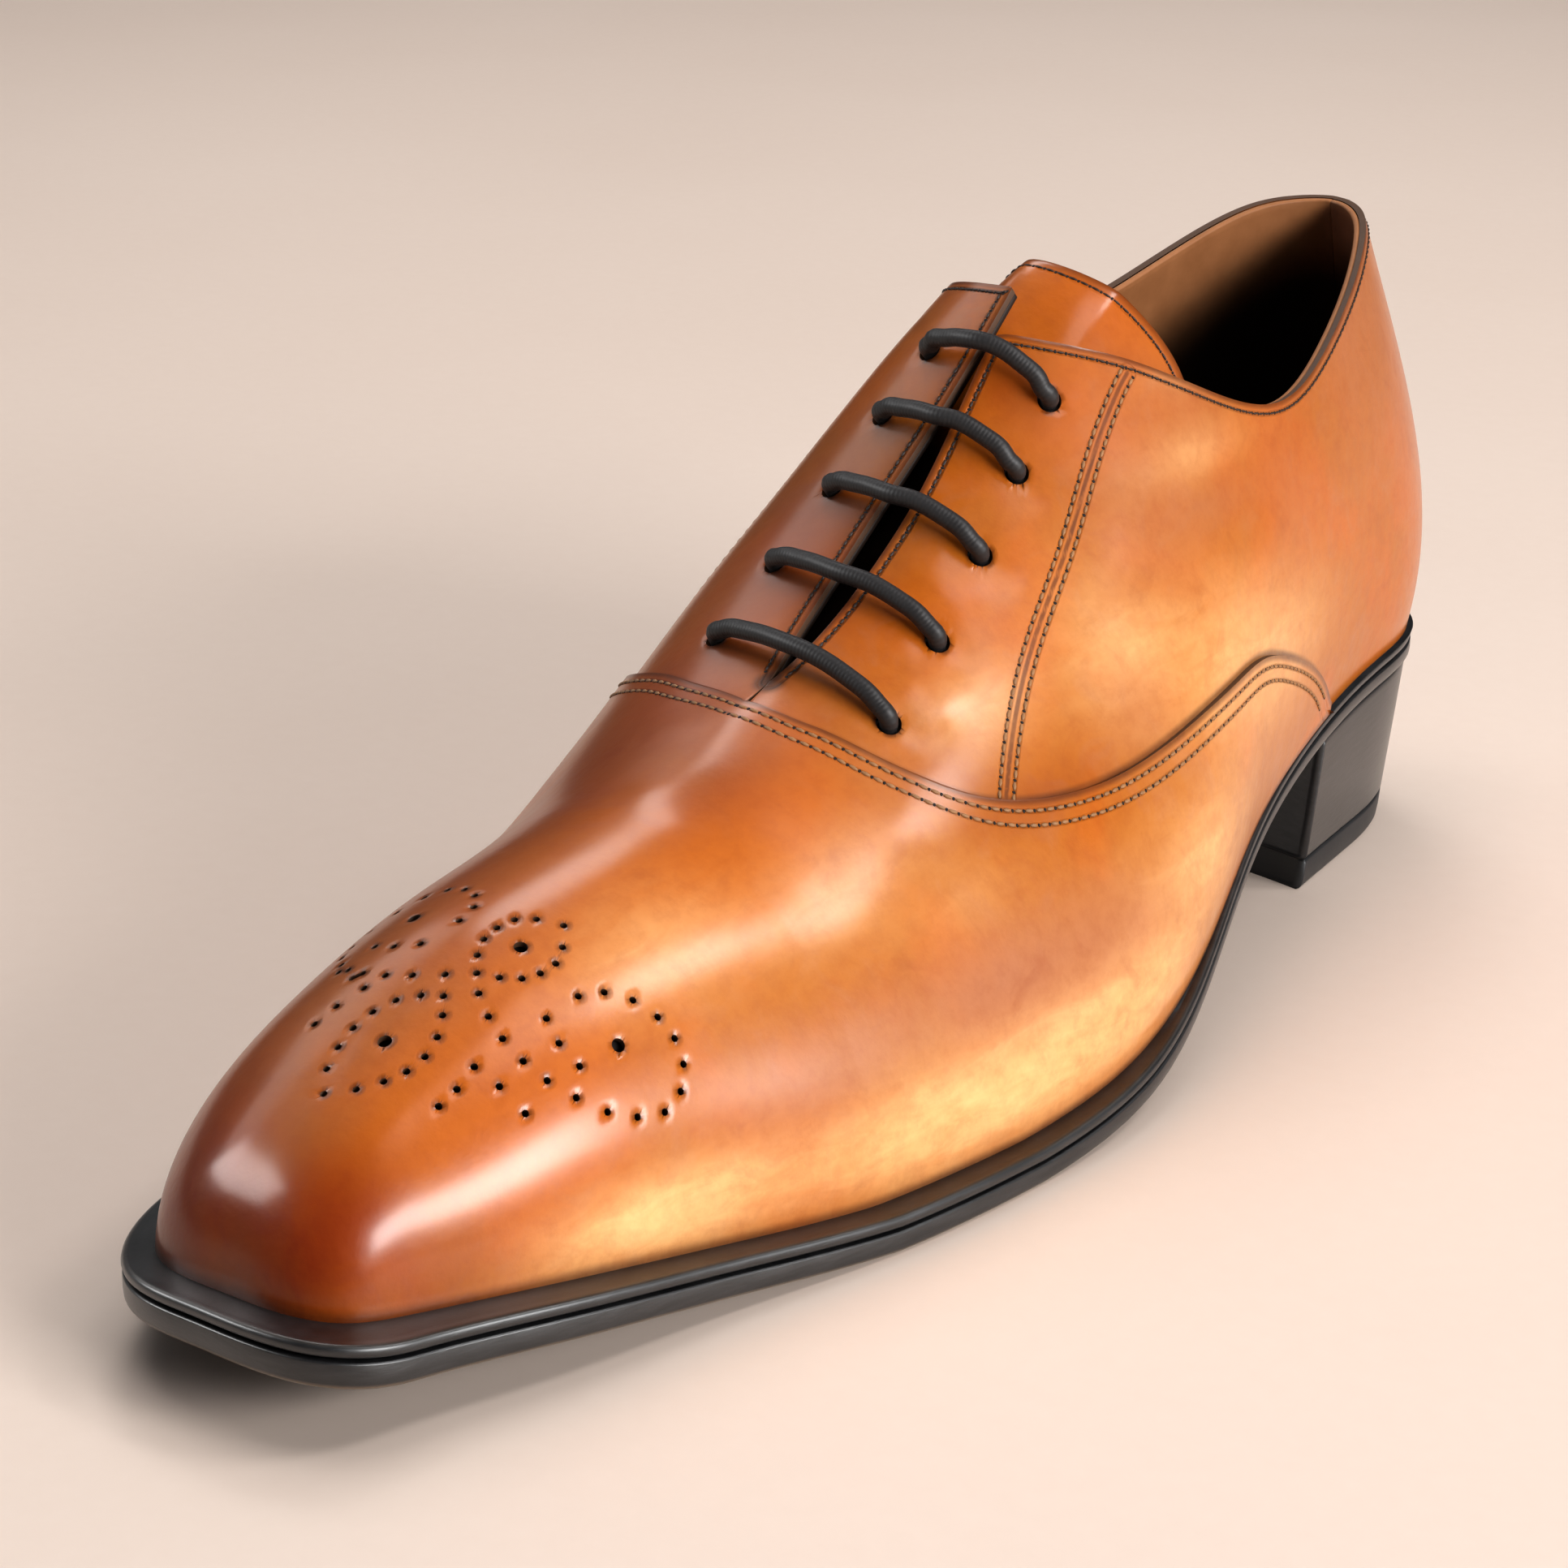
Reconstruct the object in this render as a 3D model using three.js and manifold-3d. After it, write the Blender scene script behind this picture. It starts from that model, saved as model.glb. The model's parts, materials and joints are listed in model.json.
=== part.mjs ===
// A left oxford shoe in millimetres: +Z up, toe towards -Y, outer side towards +X.
// The group's origin is on the floor, under the middle of the shoe's box.
// Every form hangs on one function, lastPoint: a point of the last at u, the way round its edge
// from the toe (0) to the heel (1), and v, the way up from the feather line (0) to the ridge (1).
import * as THREE from "three";
import { mergeVertices } from "three/addons/utils/BufferGeometryUtils.js";
import Module from "manifold-3d";

const wasm = await Module();
wasm.setup();

// Driving dimensions
const lastLength = 288; // feather line, toe to heel
const lastWidth = 88; // feather line across the joints
const lastHeight = 104; // floor to the top of the eyelet facings
const heelLift = 29.4; // floor to the outsole at the heel seat
const toeSpring = 9.4; // floor to the tip of the outsole
const edge = 6.4; // sole edge at the toe: welt and outsole together
const weltReach = 8; // the welt's widest step beyond the upper
const weltThickness = 1.9;
const weltInner = 3.2; // the welt under the upper, from the feather line inwards
const wall = 2.2; // upper leather with its lining
const vampStep = 1.0; // the vamp's leather, lapped over the quarters
const insoleProud = 1.6; // insole above the feather line
const toplift = 5.2; // rubber top piece under the heel
const heelSides = 0.055; // taper of the heel, a share of its half width
const heelBack = 5.5; // the heel's back leans in by this much
const breastLean = 3; // the heel's front leans forward by this much
const breastHollow = 3.5; // and is hollowed by this much
const breast = 0.298; // place of the heel's front, a share of lastLength
const laceDiameter = 2.6;
const eyelet = 3.8; // diameter of an eyelet hole
const tongueThickness = 2.2;
const tongueHalf = 24; // half the tongue's width
const tongueRise = 16; // the tongue's end behind the front corner of the collar
const gap = 0.3; // clearance between neighbouring pieces

// Sections of the last round its edge. along: place from the last's middle, a share of lastLength.
// out: feather line from the centre line; belly and roof: how far the side swells low down and under
// the ridge, shares of lastWidth. rise and drop: how far these pulls reach, shares of lastHeight.
// reach: welt beyond the feather line, a share of weltReach.
const sectionColumns = ["along", "out", "belly", "rise", "roof", "drop", "reach"];
const outerSide = [
  [-0.5, 0, 0.023, 0.144, 0.182, 0, 0.82],
  [-0.4986, 0.105, 0.023, 0.144, 0.182, 0, 0.88],
  [-0.49, 0.172, 0.023, 0.144, 0.17, 0, 1.0],
  [-0.465, 0.222, 0.023, 0.144, 0.17, 0, 0.88],
  [-0.403, 0.3, 0.028, 0.163, 0.19, 0, 0.77],
  [-0.316, 0.382, 0.04, 0.192, 0.227, 0, 0.68],
  [-0.219, 0.477, 0.057, 0.212, 0.25, 0, 0.65],
  [-0.125, 0.533, 0.068, 0.231, 0.261, 0, 0.6],
  [-0.031, 0.556, 0.08, 0.269, 0.227, 0, 0.48],
  [0.073, 0.505, 0.091, 0.327, 0.157, 0.02, 0.22],
  [0.177, 0.414, 0.092, 0.376, 0.13, 0.047, 0.12],
  [0.281, 0.354, 0.08, 0.346, 0.115, 0.19, 0.04],
  [0.372, 0.322, 0.075, 0.346, 0.06, 0.229, 0.04],
  [0.448, 0.26, 0.105, 0.34, 0.01, 0.245, 0.04],
  [0.49, 0.115, 0.12, 0.33, -0.005, 0.26, 0.04],
  [0.5, 0, 0.122, 0.327, -0.008, 0.269, 0.04],
];
const innerSide = [
  [-0.5, 0, 0.023, 0.144, 0.182, 0, 0.82],
  [-0.4986, 0.1, 0.023, 0.144, 0.182, 0, 0.76],
  [-0.49, 0.162, 0.023, 0.144, 0.17, 0, 0.62],
  [-0.465, 0.23, 0.025, 0.155, 0.182, 0, 0.55],
  [-0.403, 0.297, 0.031, 0.173, 0.195, 0, 0.6],
  [-0.316, 0.368, 0.036, 0.202, 0.215, 0, 0.68],
  [-0.219, 0.436, 0.045, 0.209, 0.23, 0, 0.69],
  [-0.125, 0.432, 0.07, 0.252, 0.39, 0, 0.62],
  [-0.031, 0.377, 0.093, 0.291, 0.51, 0, 0.44],
  [0.073, 0.32, 0.103, 0.338, 0.47, 0.012, 0.19],
  [0.177, 0.301, 0.1, 0.376, 0.345, 0.056, 0.06],
  [0.281, 0.315, 0.08, 0.365, 0.165, 0.154, 0.04],
  [0.372, 0.316, 0.072, 0.34, 0.055, 0.229, 0.04],
  [0.448, 0.25, 0.1, 0.337, 0.01, 0.24, 0.04],
  [0.49, 0.115, 0.12, 0.33, 0, 0.255, 0.04],
  [0.5, 0, 0.122, 0.327, -0.008, 0.269, 0.04],
];
// The ridge that both sides run up to, a row for each section above. Past the facings it splits round
// the open collar. split: half its opening; lean: its place beside the centre line.
const ridgeColumns = ["along", "split", "height", "lean"];
const ridge = [
  [-0.417, 0, 0.37, 0],
  [-0.412, 0, 0.377, 0],
  [-0.401, 0, 0.392, 0],
  [-0.381, 0, 0.417, 0],
  [-0.339, 0, 0.457, 0],
  [-0.274, 0, 0.489, 0],
  [-0.201, 0, 0.525, 0],
  [-0.128, 0, 0.583, 0.005],
  [-0.052, 0, 0.688, 0.005],
  [0.035, 0, 0.884, 0.02],
  [0.125, 0.012, 1.115, 0.038],
  [0.212, 0.11, 1.165, 0.025],
  [0.316, 0.142, 1.212, 0],
  [0.406, 0.095, 1.262, 0],
  [0.451, 0.045, 1.268, 0],
  [0.464, 0, 1.258, 0],
];
// Underside of the outsole: place, then height as a share of toeSpring ahead of the joints and of
// heelLift behind them. What would lie below 0, under the joints, is flat on the floor.
const underFront = [
  [-0.528, 1], [-0.486, 0.78], [-0.417, 0.6], [-0.33, 0.3], [-0.243, 0.045], [-0.174, -0.05],
  [-0.104, 0.035],
];
const underBack = [
  [-0.035, 0.085], [0.052, 0.28], [0.156, 0.62], [0.26, 0.85], [0.347, 0.975], [0.434, 1], [0.53, 1],
];
// Thickness of the sole edge: place, share of edge.
const edgeRun = [
  [-0.528, 1], [-0.33, 0.92], [-0.104, 0.86], [0.035, 0.8], [0.104, 0.76], [0.26, 0.76], [0.4, 0.78],
  [0.53, 0.78],
];
// Collar line on each side: place, height as a share of lastHeight.
const collarOuter = [
  [0.078, 1], [0.128, 0.953], [0.191, 0.871], [0.247, 0.834], [0.316, 0.876], [0.385, 0.95], [0.441, 1],
  [0.482, 1.013],
];
const collarInner = [
  [0.078, 1.075], [0.128, 1.02], [0.191, 0.935], [0.247, 0.892], [0.316, 0.895], [0.385, 0.955],
  [0.441, 1.005], [0.482, 1.013],
];
// Half the width of the slot between the facings: place, share of lastWidth.
const slotHalf = [
  [-0.107, 0], [-0.085, 0.015], [-0.031, 0.029], [0.01, 0.027], [0.038, 0.018], [0.07, 0.009], [0.12, 0.009],
];
// Back edge of the vamp, in u and v: over the ridge at the throat, low on the side, up and down at the heel.
const vampEdge = [
  [0.393, 1], [0.396, 0.92], [0.402, 0.84], [0.41, 0.75], [0.42, 0.665], [0.434, 0.585], [0.452, 0.52],
  [0.475, 0.465], [0.505, 0.412], [0.545, 0.357], [0.59, 0.3], [0.635, 0.25], [0.675, 0.215], [0.705, 0.178],
  [0.733, 0.132], [0.757, 0.068], [0.77, 0.015],
];
// Eyelets: u, then the distance from the centre line on the outer and the inner side, shares of lastWidth.
const eyelets = [
  [0.434, 0.203, 0.172], [0.484, 0.184, 0.162], [0.531, 0.159, 0.146], [0.571, 0.138, 0.132],
  [0.604, 0.125, 0.11],
];
// Side profiles from bottom to top: share of the height, then offset as a share of the piece's
// thickness, or of heelLift on the heel.
const outsoleProfile = [
  [0, -0.35], [0.1, -0.08], [0.26, 0], [0.4, -0.18], [0.82, -0.2], [1, -0.4],
];
const weltProfile = [
  [0, -0.45], [0.3, -0.1], [0.75, 0], [1, -0.3],
];
const heelProfile = [
  [0, -0.03], [0.06, 0], [1, 0],
];

// A natural cubic spline through (xs, ys), straight beyond its ends.
function spline(xs, ys) {
  const n = xs.length;
  const h = xs.slice(1).map((x, i) => x - xs[i]);
  const diagonal = new Array(n).fill(1);
  const upper = new Array(n).fill(0);
  const bend = new Array(n).fill(0);
  for (let i = 1; i < n - 1; i++) {
    const lower = h[i - 1];
    const right = 6 * ((ys[i + 1] - ys[i]) / h[i] - (ys[i] - ys[i - 1]) / h[i - 1]);
    diagonal[i] = 2 * (h[i - 1] + h[i]) - lower * upper[i - 1];
    upper[i] = h[i] / diagonal[i];
    bend[i] = (right - lower * bend[i - 1]) / diagonal[i];
  }
  for (let i = n - 2; i > 0; i--) bend[i] -= upper[i] * bend[i + 1];
  const startSlope = (ys[1] - ys[0]) / h[0] - (h[0] * bend[1]) / 6;
  const endSlope = (ys[n - 1] - ys[n - 2]) / h[n - 2] + (h[n - 2] * bend[n - 2]) / 6;
  return (x) => {
    if (x < xs[0]) return ys[0] + startSlope * (x - xs[0]);
    if (x > xs[n - 1]) return ys[n - 1] + endSlope * (x - xs[n - 1]);
    let i = 0;
    while (i < n - 2 && x > xs[i + 1]) i++;
    const a = (xs[i + 1] - x) / h[i];
    const b = 1 - a;
    const curved = (a ** 3 - a) * bend[i] + (b ** 3 - b) * bend[i + 1];
    return a * ys[i] + b * ys[i + 1] + (curved * h[i] ** 2) / 6;
  };
}

const curve = (rows, xUnit, yUnit) => spline(rows.map((r) => r[0] * xUnit), rows.map((r) => r[1] * yUnit));

// Sections as named columns in millimetres
const units = {
  along: lastLength, out: lastWidth, belly: lastWidth, rise: lastHeight, roof: lastWidth, drop: lastHeight,
  reach: weltReach, split: lastWidth, height: lastHeight, lean: lastWidth,
};
const columnsOf = (rows, names) =>
  Object.fromEntries(names.map((name, i) => [name, rows.map((row) => row[i] * units[name])]));
const outerColumns = columnsOf(outerSide, sectionColumns);
const innerColumns = columnsOf(innerSide, sectionColumns);
const ridgeTable = columnsOf(ridge, ridgeColumns);

// u of each section: its share of the way round the edge, the mean of both sides
function sectionPlaces() {
  const places = [0];
  for (let i = 1; i < outerSide.length; i++) {
    const step = [outerColumns, innerColumns].map((c) =>
      Math.hypot(c.along[i] - c.along[i - 1], c.out[i] - c.out[i - 1]),
    );
    places.push(places[i - 1] + (step[0] + step[1]) / 2);
  }
  return places.map((p) => p / places.at(-1));
}
const places = sectionPlaces();

// A column as a curve of u that runs on smoothly into the other side at the toe and at the heel.
const runOn = 3;
function acrossEnds(own, other, sign) {
  const n = places.length;
  const before = [];
  const after = [];
  for (let i = runOn; i >= 1; i--) before.push([-places[i], sign * other[i]]);
  for (let i = 2; i <= runOn + 1; i++) after.push([2 - places[n - i], sign * other[n - i]]);
  const rows = [...before, ...places.map((p, i) => [p, own[i]]), ...after];
  return spline(rows.map((r) => r[0]), rows.map((r) => r[1]));
}
const section = { 1: {}, [-1]: {} };
for (const name of sectionColumns) {
  const sign = name === "out" ? -1 : 1;
  section[1][name] = acrossEnds(outerColumns[name], innerColumns[name], sign);
  section[-1][name] = acrossEnds(innerColumns[name], outerColumns[name], sign);
}
const ridgeAt = {};
for (const name of ridgeColumns) {
  ridgeAt[name] = acrossEnds(ridgeTable[name], ridgeTable[name], name === "split" ? -1 : 1);
}
const ridgeHeight = curve(ridge.map((r) => [r[0], r[2]]), lastLength, lastHeight);
const ridgeSlopeStep = 0.5;
const ridgeSlope = (y) =>
  (ridgeHeight(y + ridgeSlopeStep) - ridgeHeight(y - ridgeSlopeStep)) / (2 * ridgeSlopeStep);

const underside = spline(
  [...underFront, ...underBack].map((r) => r[0] * lastLength),
  [...underFront.map((r) => r[1] * toeSpring), ...underBack.map((r) => r[1] * heelLift)],
);
const soleBottom = (y) => Math.max(0, underside(y));
const edgeThickness = curve(edgeRun, lastLength, edge);
const weltTop = (y) => soleBottom(y) + edgeThickness(y);
const weltBottom = (y) => weltTop(y) - weltThickness;
const outsoleTop = (y) => weltBottom(y) - gap;

// Feather line, where the upper meets the welt, and the outward direction there
function feather(side, u) {
  const y = section[side].along(u);
  return new THREE.Vector3(side * section[side].out(u), y, weltTop(y) + gap);
}
const slopeStep = 1e-3;
const isToe = (u) => u < slopeStep / 2;
const isHeel = (u) => u > 1 - slopeStep / 2;
function outward(side, u) {
  if (isToe(u)) return new THREE.Vector3(0, -1, 0);
  if (isHeel(u)) return new THREE.Vector3(0, 1, 0);
  const ahead = feather(side, u + slopeStep).sub(feather(side, u - slopeStep));
  return new THREE.Vector3(ahead.y * side, -ahead.x * side, 0).normalize();
}
// The ridge is whole up to the facings. Its slope is followed that far and fades out along the collar.
const facingEnd = places[9];
const fadeEnd = places[12];
const splitAt = (u) => (u <= facingEnd ? 0 : Math.max(0, ridgeAt.split(u)));
const ridgePoint = (side, u) =>
  new THREE.Vector3(side * splitAt(u) + ridgeAt.lean(u), ridgeAt.along(u), ridgeAt.height(u));
const bellyFollow = 0.2; // how far the low pull follows its ridge point along the shoe
// The roof's pull points away from the ridge: in a fan round the toe, square to the feather line behind it.
const fanEnd = places[6];
function roofWay(u, foot, top, n) {
  const fan = new THREE.Vector3(foot.x - top.x, foot.y - top.y, 0).normalize();
  return fan.lerp(n, THREE.MathUtils.smoothstep(u, 0, fanEnd)).normalize();
}
function lastPoint(side, u, v) {
  const foot = feather(side, u);
  const n = outward(side, u);
  const top = ridgePoint(side, u);
  const { belly, rise, roof, drop } = section[side];
  const follow = THREE.MathUtils.clamp((fadeEnd - u) / (fadeEnd - facingEnd), 0, 1) * ridgeSlope(top.y);
  const low = foot.clone().addScaledVector(n, belly(u));
  low.y += bellyFollow * (top.y - foot.y);
  low.z += rise(u);
  const away = roofWay(u, foot, top, n);
  const high = top.clone().addScaledVector(away, roof(u));
  high.z += away.y * roof(u) * follow - drop(u);
  return new THREE.CubicBezierCurve3(foot, low, high, top).getPoint(v);
}

// Outward normal of the last: level at the feather line, and shared by both sides on the ridge.
const onRidge = 0.9999;
function lastNormal(side, u, v) {
  if (v > onRidge && u <= throat) return new THREE.Vector3(0, -ridgeSlope(ridgeAt.along(u)), 1).normalize();
  const low = Math.max(0, v - slopeStep);
  const high = Math.min(1, v + slopeStep);
  const up = lastPoint(side, u, high).sub(lastPoint(side, u, low));
  const ahead = lastPoint(side, u + slopeStep, v).sub(lastPoint(side, u - slopeStep, v));
  const normal = new THREE.Vector3().crossVectors(ahead, up).multiplyScalar(side);
  if (isToe(u)) normal.set(0, -up.z, up.y);
  if (isHeel(u)) normal.set(0, up.z, -up.y);
  if (v < slopeStep) normal.z = 0;
  return normal.normalize();
}
const offsetPoint = (side, u, v, offset) =>
  lastPoint(side, u, v).addScaledVector(lastNormal(side, u, v), offset);

// The largest t from 0 to 1 for which inside(t) holds, where it holds from 0 on
const halvings = 32;
function lastInside(inside) {
  let low = 0;
  let high = 1;
  for (let i = 0; i < halvings; i++) {
    const middle = (low + high) / 2;
    if (inside(middle)) low = middle;
    else high = middle;
  }
  return low;
}

// Top edge of the upper: the facings' edge on the slot, then the collar line
const collar = {
  1: curve(collarOuter, lastLength, lastHeight),
  [-1]: curve(collarInner, lastLength, lastHeight),
};
const slot = curve(slotHalf, lastLength, lastWidth);
const slotStart = slotHalf[0][0] * lastLength;
const collarStart = collarOuter[0][0] * lastLength;
const throat = lastInside((u) => ridgeAt.along(u) < slotStart);
const facingTop = lastInside((u) => ridgeAt.along(u) < collarStart);
function collarHeight(side, u, y) {
  const place = Math.max(y, collarStart);
  return isHeel(u) ? (collar[1](place) + collar[-1](place)) / 2 : collar[side](place);
}
function upperTop(side, u) {
  if (u <= throat) return 1;
  return lastInside((v) => {
    const p = lastPoint(side, u, v);
    const besideSlot = Math.abs(p.x - ridgeAt.lean(u)) >= slot(p.y) || u > fadeEnd;
    const underCollar = u < facingTop || p.z < collarHeight(side, u, p.y);
    return besideSlot && underCollar;
  });
}
const vampEdgeAt = spline(vampEdge.map((r) => r[0]), vampEdge.map((r) => r[1]));
const vampTop = (side, u) => (u <= vampEdge[0][0] ? 1 : Math.min(1, Math.max(0.001, vampEdgeAt(u))));
// v of the point that lies this far from the centre line, high on the side
const ridgeSide = 0.45;
function atDistance(side, u, distance) {
  const reached = (t) => Math.abs(lastPoint(side, u, 1 - t * (1 - ridgeSide)).x - ridgeAt.lean(u)) < distance;
  return 1 - lastInside(reached) * (1 - ridgeSide);
}

// Numbers from a to b in n steps, without b
const steps = (a, b, n) => Array.from({ length: n }, (_, i) => a + ((b - a) * i) / n);

// Collects triangles and quads of points, then gives one closed geometry facing out
class Skin {
  constructor() {
    this.points = [];
  }
  triangle(a, b, c) {
    this.points.push(a, b, c);
  }
  quad(a, b, c, d) {
    this.triangle(a, b, c);
    this.triangle(a, c, d);
  }
  // Quads between two rows of points
  band(row, next) {
    for (let i = 0; i < row.length - 1; i++) this.quad(row[i], row[i + 1], next[i + 1], next[i]);
  }
  geometry() {
    const tolerance = 1e-3;
    const raw = new THREE.BufferGeometry().setFromPoints(this.points);
    const merged = mergeVertices(raw, tolerance);
    const index = merged.index.array;
    const kept = [];
    for (let i = 0; i < index.length; i += 3) {
      const [a, b, c] = [index[i], index[i + 1], index[i + 2]];
      if (a !== b && b !== c && c !== a) kept.push(a, b, c);
    }
    const at = (i) => new THREE.Vector3().fromBufferAttribute(merged.attributes.position, i);
    let volume = 0;
    for (let i = 0; i < kept.length; i += 3) {
      volume += at(kept[i]).dot(at(kept[i + 1]).cross(at(kept[i + 2])));
    }
    if (volume < 0) kept.reverse();
    merged.setIndex(kept);
    return merged;
  }
}

const solid = (geometry) =>
  new wasm.Manifold(
    new wasm.Mesh({
      numProp: 3,
      vertProperties: new Float32Array(geometry.attributes.position.array),
      triVerts: new Uint32Array(geometry.index.array),
    }),
  );
function geometryOf(manifold) {
  const made = manifold.getMesh();
  return new THREE.BufferGeometry()
    .setAttribute("position", new THREE.BufferAttribute(made.vertProperties, 3))
    .setIndex(new THREE.BufferAttribute(made.triVerts, 1));
}

// A wall that follows the last between two offsets, from the feather line up to top(side, u).
// Both sides are one skin: they join at the toe, at the heel and on the ridge where top is 1.
function lastShell({ columns, rows, inner, outer, top }) {
  const skin = new Skin();
  for (const side of [1, -1]) {
    const tops = columns.map((u) => top(side, u));
    const layer = (offset) =>
      columns.map((u, i) => rows.map((f) => offsetPoint(side, u, f * tops[i], offset)));
    const [out, inn] = [layer(outer), layer(inner)];
    if (side < 0) for (const l of [out, inn]) l.forEach((column) => column.reverse());
    const turned = (column) => (side < 0 ? column.length - 1 : 0);
    for (let i = 0; i < columns.length - 1; i++) {
      skin.band(out[i], out[i + 1]);
      skin.band([...inn[i]].reverse(), [...inn[i + 1]].reverse());
      const rims = [turned(out[i])];
      if (tops[i] < 1 || tops[i + 1] < 1) rims.push(out[i].length - 1 - turned(out[i]));
      for (const at of rims) {
        const ring = [out[i][at], out[i + 1][at], inn[i + 1][at], inn[i][at]];
        if (at === 0) skin.quad(...ring);
        else skin.quad(...ring.reverse());
      }
    }
    if (columns.at(-1) < 1) {
      const [a, b] = [out.at(-1), inn.at(-1)];
      for (let j = 0; j < a.length - 1; j++) skin.quad(a[j], a[j + 1], b[j + 1], b[j]);
    }
  }
  return skin.geometry();
}

// Closed loop round the sole: out along the outer side and back along the inner one
function soleLoop(columns, offset, height) {
  const at = (side, u) => {
    const p = feather(side, u).addScaledVector(outward(side, u), offset(side, u));
    return p.setZ(height(p.y));
  };
  return [...columns.map((u) => at(1, u)), ...columns.slice(1, -1).reverse().map((u) => at(-1, u))];
}
const loopPairs = (n) => Array.from({ length: (n + 2) / 2 }, (_, i) => [i, (n - i) % n]);

// A lid across a loop, in strips from side to side
function lid(skin, loop, up) {
  const pairs = loopPairs(loop.length);
  for (let i = 0; i < pairs.length - 1; i++) {
    const quad = [pairs[i][0], pairs[i + 1][0], pairs[i + 1][1], pairs[i][1]].map((k) => loop[k]);
    skin.quad(...(up ? quad : quad.reverse()));
  }
}
const closed = (loop) => [...loop, loop[0]];

// A plate of the sole with a shaped side
function plate({ columns, offset, bottom, top, profile, lip }) {
  const skin = new Skin();
  const loops = profile.map(([share, out]) => {
    const height = (y) => bottom(y) + share * (top(y) - bottom(y));
    return soleLoop(columns, (side, u) => offset(side, u) + out * lip, height);
  });
  for (let i = 0; i < loops.length - 1; i++) skin.band(closed(loops[i]), closed(loops[i + 1]));
  lid(skin, loops[0], false);
  lid(skin, loops.at(-1), true);
  return skin.geometry();
}

// Places round the edge: close together on the toe's corners and round the heel
const soleColumns = [...steps(0, 0.1, 9), ...steps(0.1, 0.84, 24), ...steps(0.84, 1, 9), 1];
const reachOf = (side, u) => section[side].reach(u);

function outsole() {
  return plate({
    columns: soleColumns, offset: reachOf, bottom: soleBottom, top: outsoleTop,
    profile: outsoleProfile, lip: edge - weltThickness,
  });
}

function insole() {
  const inset = -(weltInner + gap);
  return plate({
    columns: soleColumns, offset: () => inset, bottom: (y) => outsoleTop(y) + gap,
    top: (y) => weltTop(y) + gap + insoleProud, profile: [[0, 0], [1, 0]], lip: 0,
  });
}

// The welt is a ring: its outer side is shaped, its inner side lies under the upper.
function welt() {
  const skin = new Skin();
  const outer = weltProfile.map(([share, out]) =>
    soleLoop(
      soleColumns,
      (side, u) => reachOf(side, u) + out * weltThickness,
      (y) => weltBottom(y) + share * weltThickness,
    ),
  );
  const inner = [weltTop, weltBottom].map((height) => soleLoop(soleColumns, () => -weltInner, height));
  const rings = [...outer, ...inner, outer[0]];
  for (let i = 0; i < rings.length - 1; i++) skin.band(closed(rings[i]), closed(rings[i + 1]));
  return skin.geometry();
}

// Heel: the outline of the sole behind the breast, leaning in towards the floor
const breastY = breast * lastLength;
const breastAt = lastInside((u) => section[1].along(u) < breastY);
const heelColumns = [...steps(breastAt, 0.84, 3), ...steps(0.84, 1, 9), 1];
const breastPoints = 5;
const heelInset = 0.4;
const heelEnd = lastLength / 2;
function heelLoop(height, offset) {
  const loop = soleLoop(heelColumns, () => offset - heelInset, height);
  const start = loop[0];
  const end = feather(-1, breastAt).addScaledVector(outward(-1, breastAt), offset - heelInset);
  end.setZ(height(end.y));
  const across = [];
  for (let i = 1; i <= breastPoints; i++) {
    const t = i / (breastPoints + 1);
    const p = end.clone().lerp(start, t);
    p.y += breastHollow * 4 * t * (1 - t);
    across.push(p.setZ(height(p.y)));
  }
  const all = [...loop, end, ...across];
  for (const p of all) {
    const down = 1 - p.z / heelLift;
    const back = (p.y - breastY) / (heelEnd - breastY);
    p.x *= 1 - heelSides * down;
    p.y -= down * (breastLean + (heelBack - breastLean) * back);
  }
  return all;
}
function heelLid(skin, loop, up) {
  const front = [loop[1], loop[0], ...loop.slice(-breastPoints).reverse(), loop.at(-breastPoints - 1)];
  const second = loop[loop.length - breastPoints - 2];
  const cell = [...front, second];
  const flat = cell.map((p) => new THREE.Vector2(p.x, p.y));
  for (const face of THREE.ShapeUtils.triangulateShape(flat, [])) {
    const corners = face.map((k) => cell[k]);
    const facesDown = THREE.ShapeUtils.isClockWise(face.map((k) => flat[k]));
    skin.triangle(...(facesDown === up ? corners.reverse() : corners));
  }
  const sides = loop.length - breastPoints;
  for (let i = 1; i < heelColumns.length - 1; i++) {
    const quad = [i, i + 1, sides - 2 - i, sides - 1 - i].map((k) => loop[k]);
    skin.quad(...(up ? quad : quad.reverse()));
  }
}
function heelBlock(bottom, top) {
  const skin = new Skin();
  const loops = heelProfile.map(([share, out]) =>
    heelLoop((y) => bottom(y) + share * (top(y) - bottom(y)), out * heelLift),
  );
  for (let i = 0; i < loops.length - 1; i++) skin.band(closed(loops[i]), closed(loops[i + 1]));
  heelLid(skin, loops[0], false);
  heelLid(skin, loops.at(-1), true);
  return skin.geometry();
}

// Upper: quarters and vamp as one hollow wall with the vamp lapped over, and ten eyelet holes
const upperColumns = [
  ...steps(0, 0.1, 8), ...steps(0.1, throat, 11), ...steps(throat, facingTop, 8),
  ...steps(facingTop, 0.84, 8),
  ...steps(0.84, 1, 8), 1,
];
const upperRows = [...steps(0, 0.3, 4), ...steps(0.3, 1, 7), 1];
const vampColumns = [
  ...steps(0, 0.1, 8), ...steps(0.1, vampEdge[0][0], 11), ...vampEdge.map((r) => r[0]),
];
const vampFoot = 0.012; // the vamp's step starts this far above the feather line, as a share of its height
const vampRows = [...steps(vampFoot, 0.3, 3), ...steps(0.3, 1, 6), 1];
const [quarterFace, vampFace] = [-vampStep / 2, vampStep / 2]; // outer faces, from the last's surface
const lapDepth = 0.5; // share of the wall that the vamp is sunk into
const sliver = 0.01; // faces thinner than this are merged where the two walls join

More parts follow.
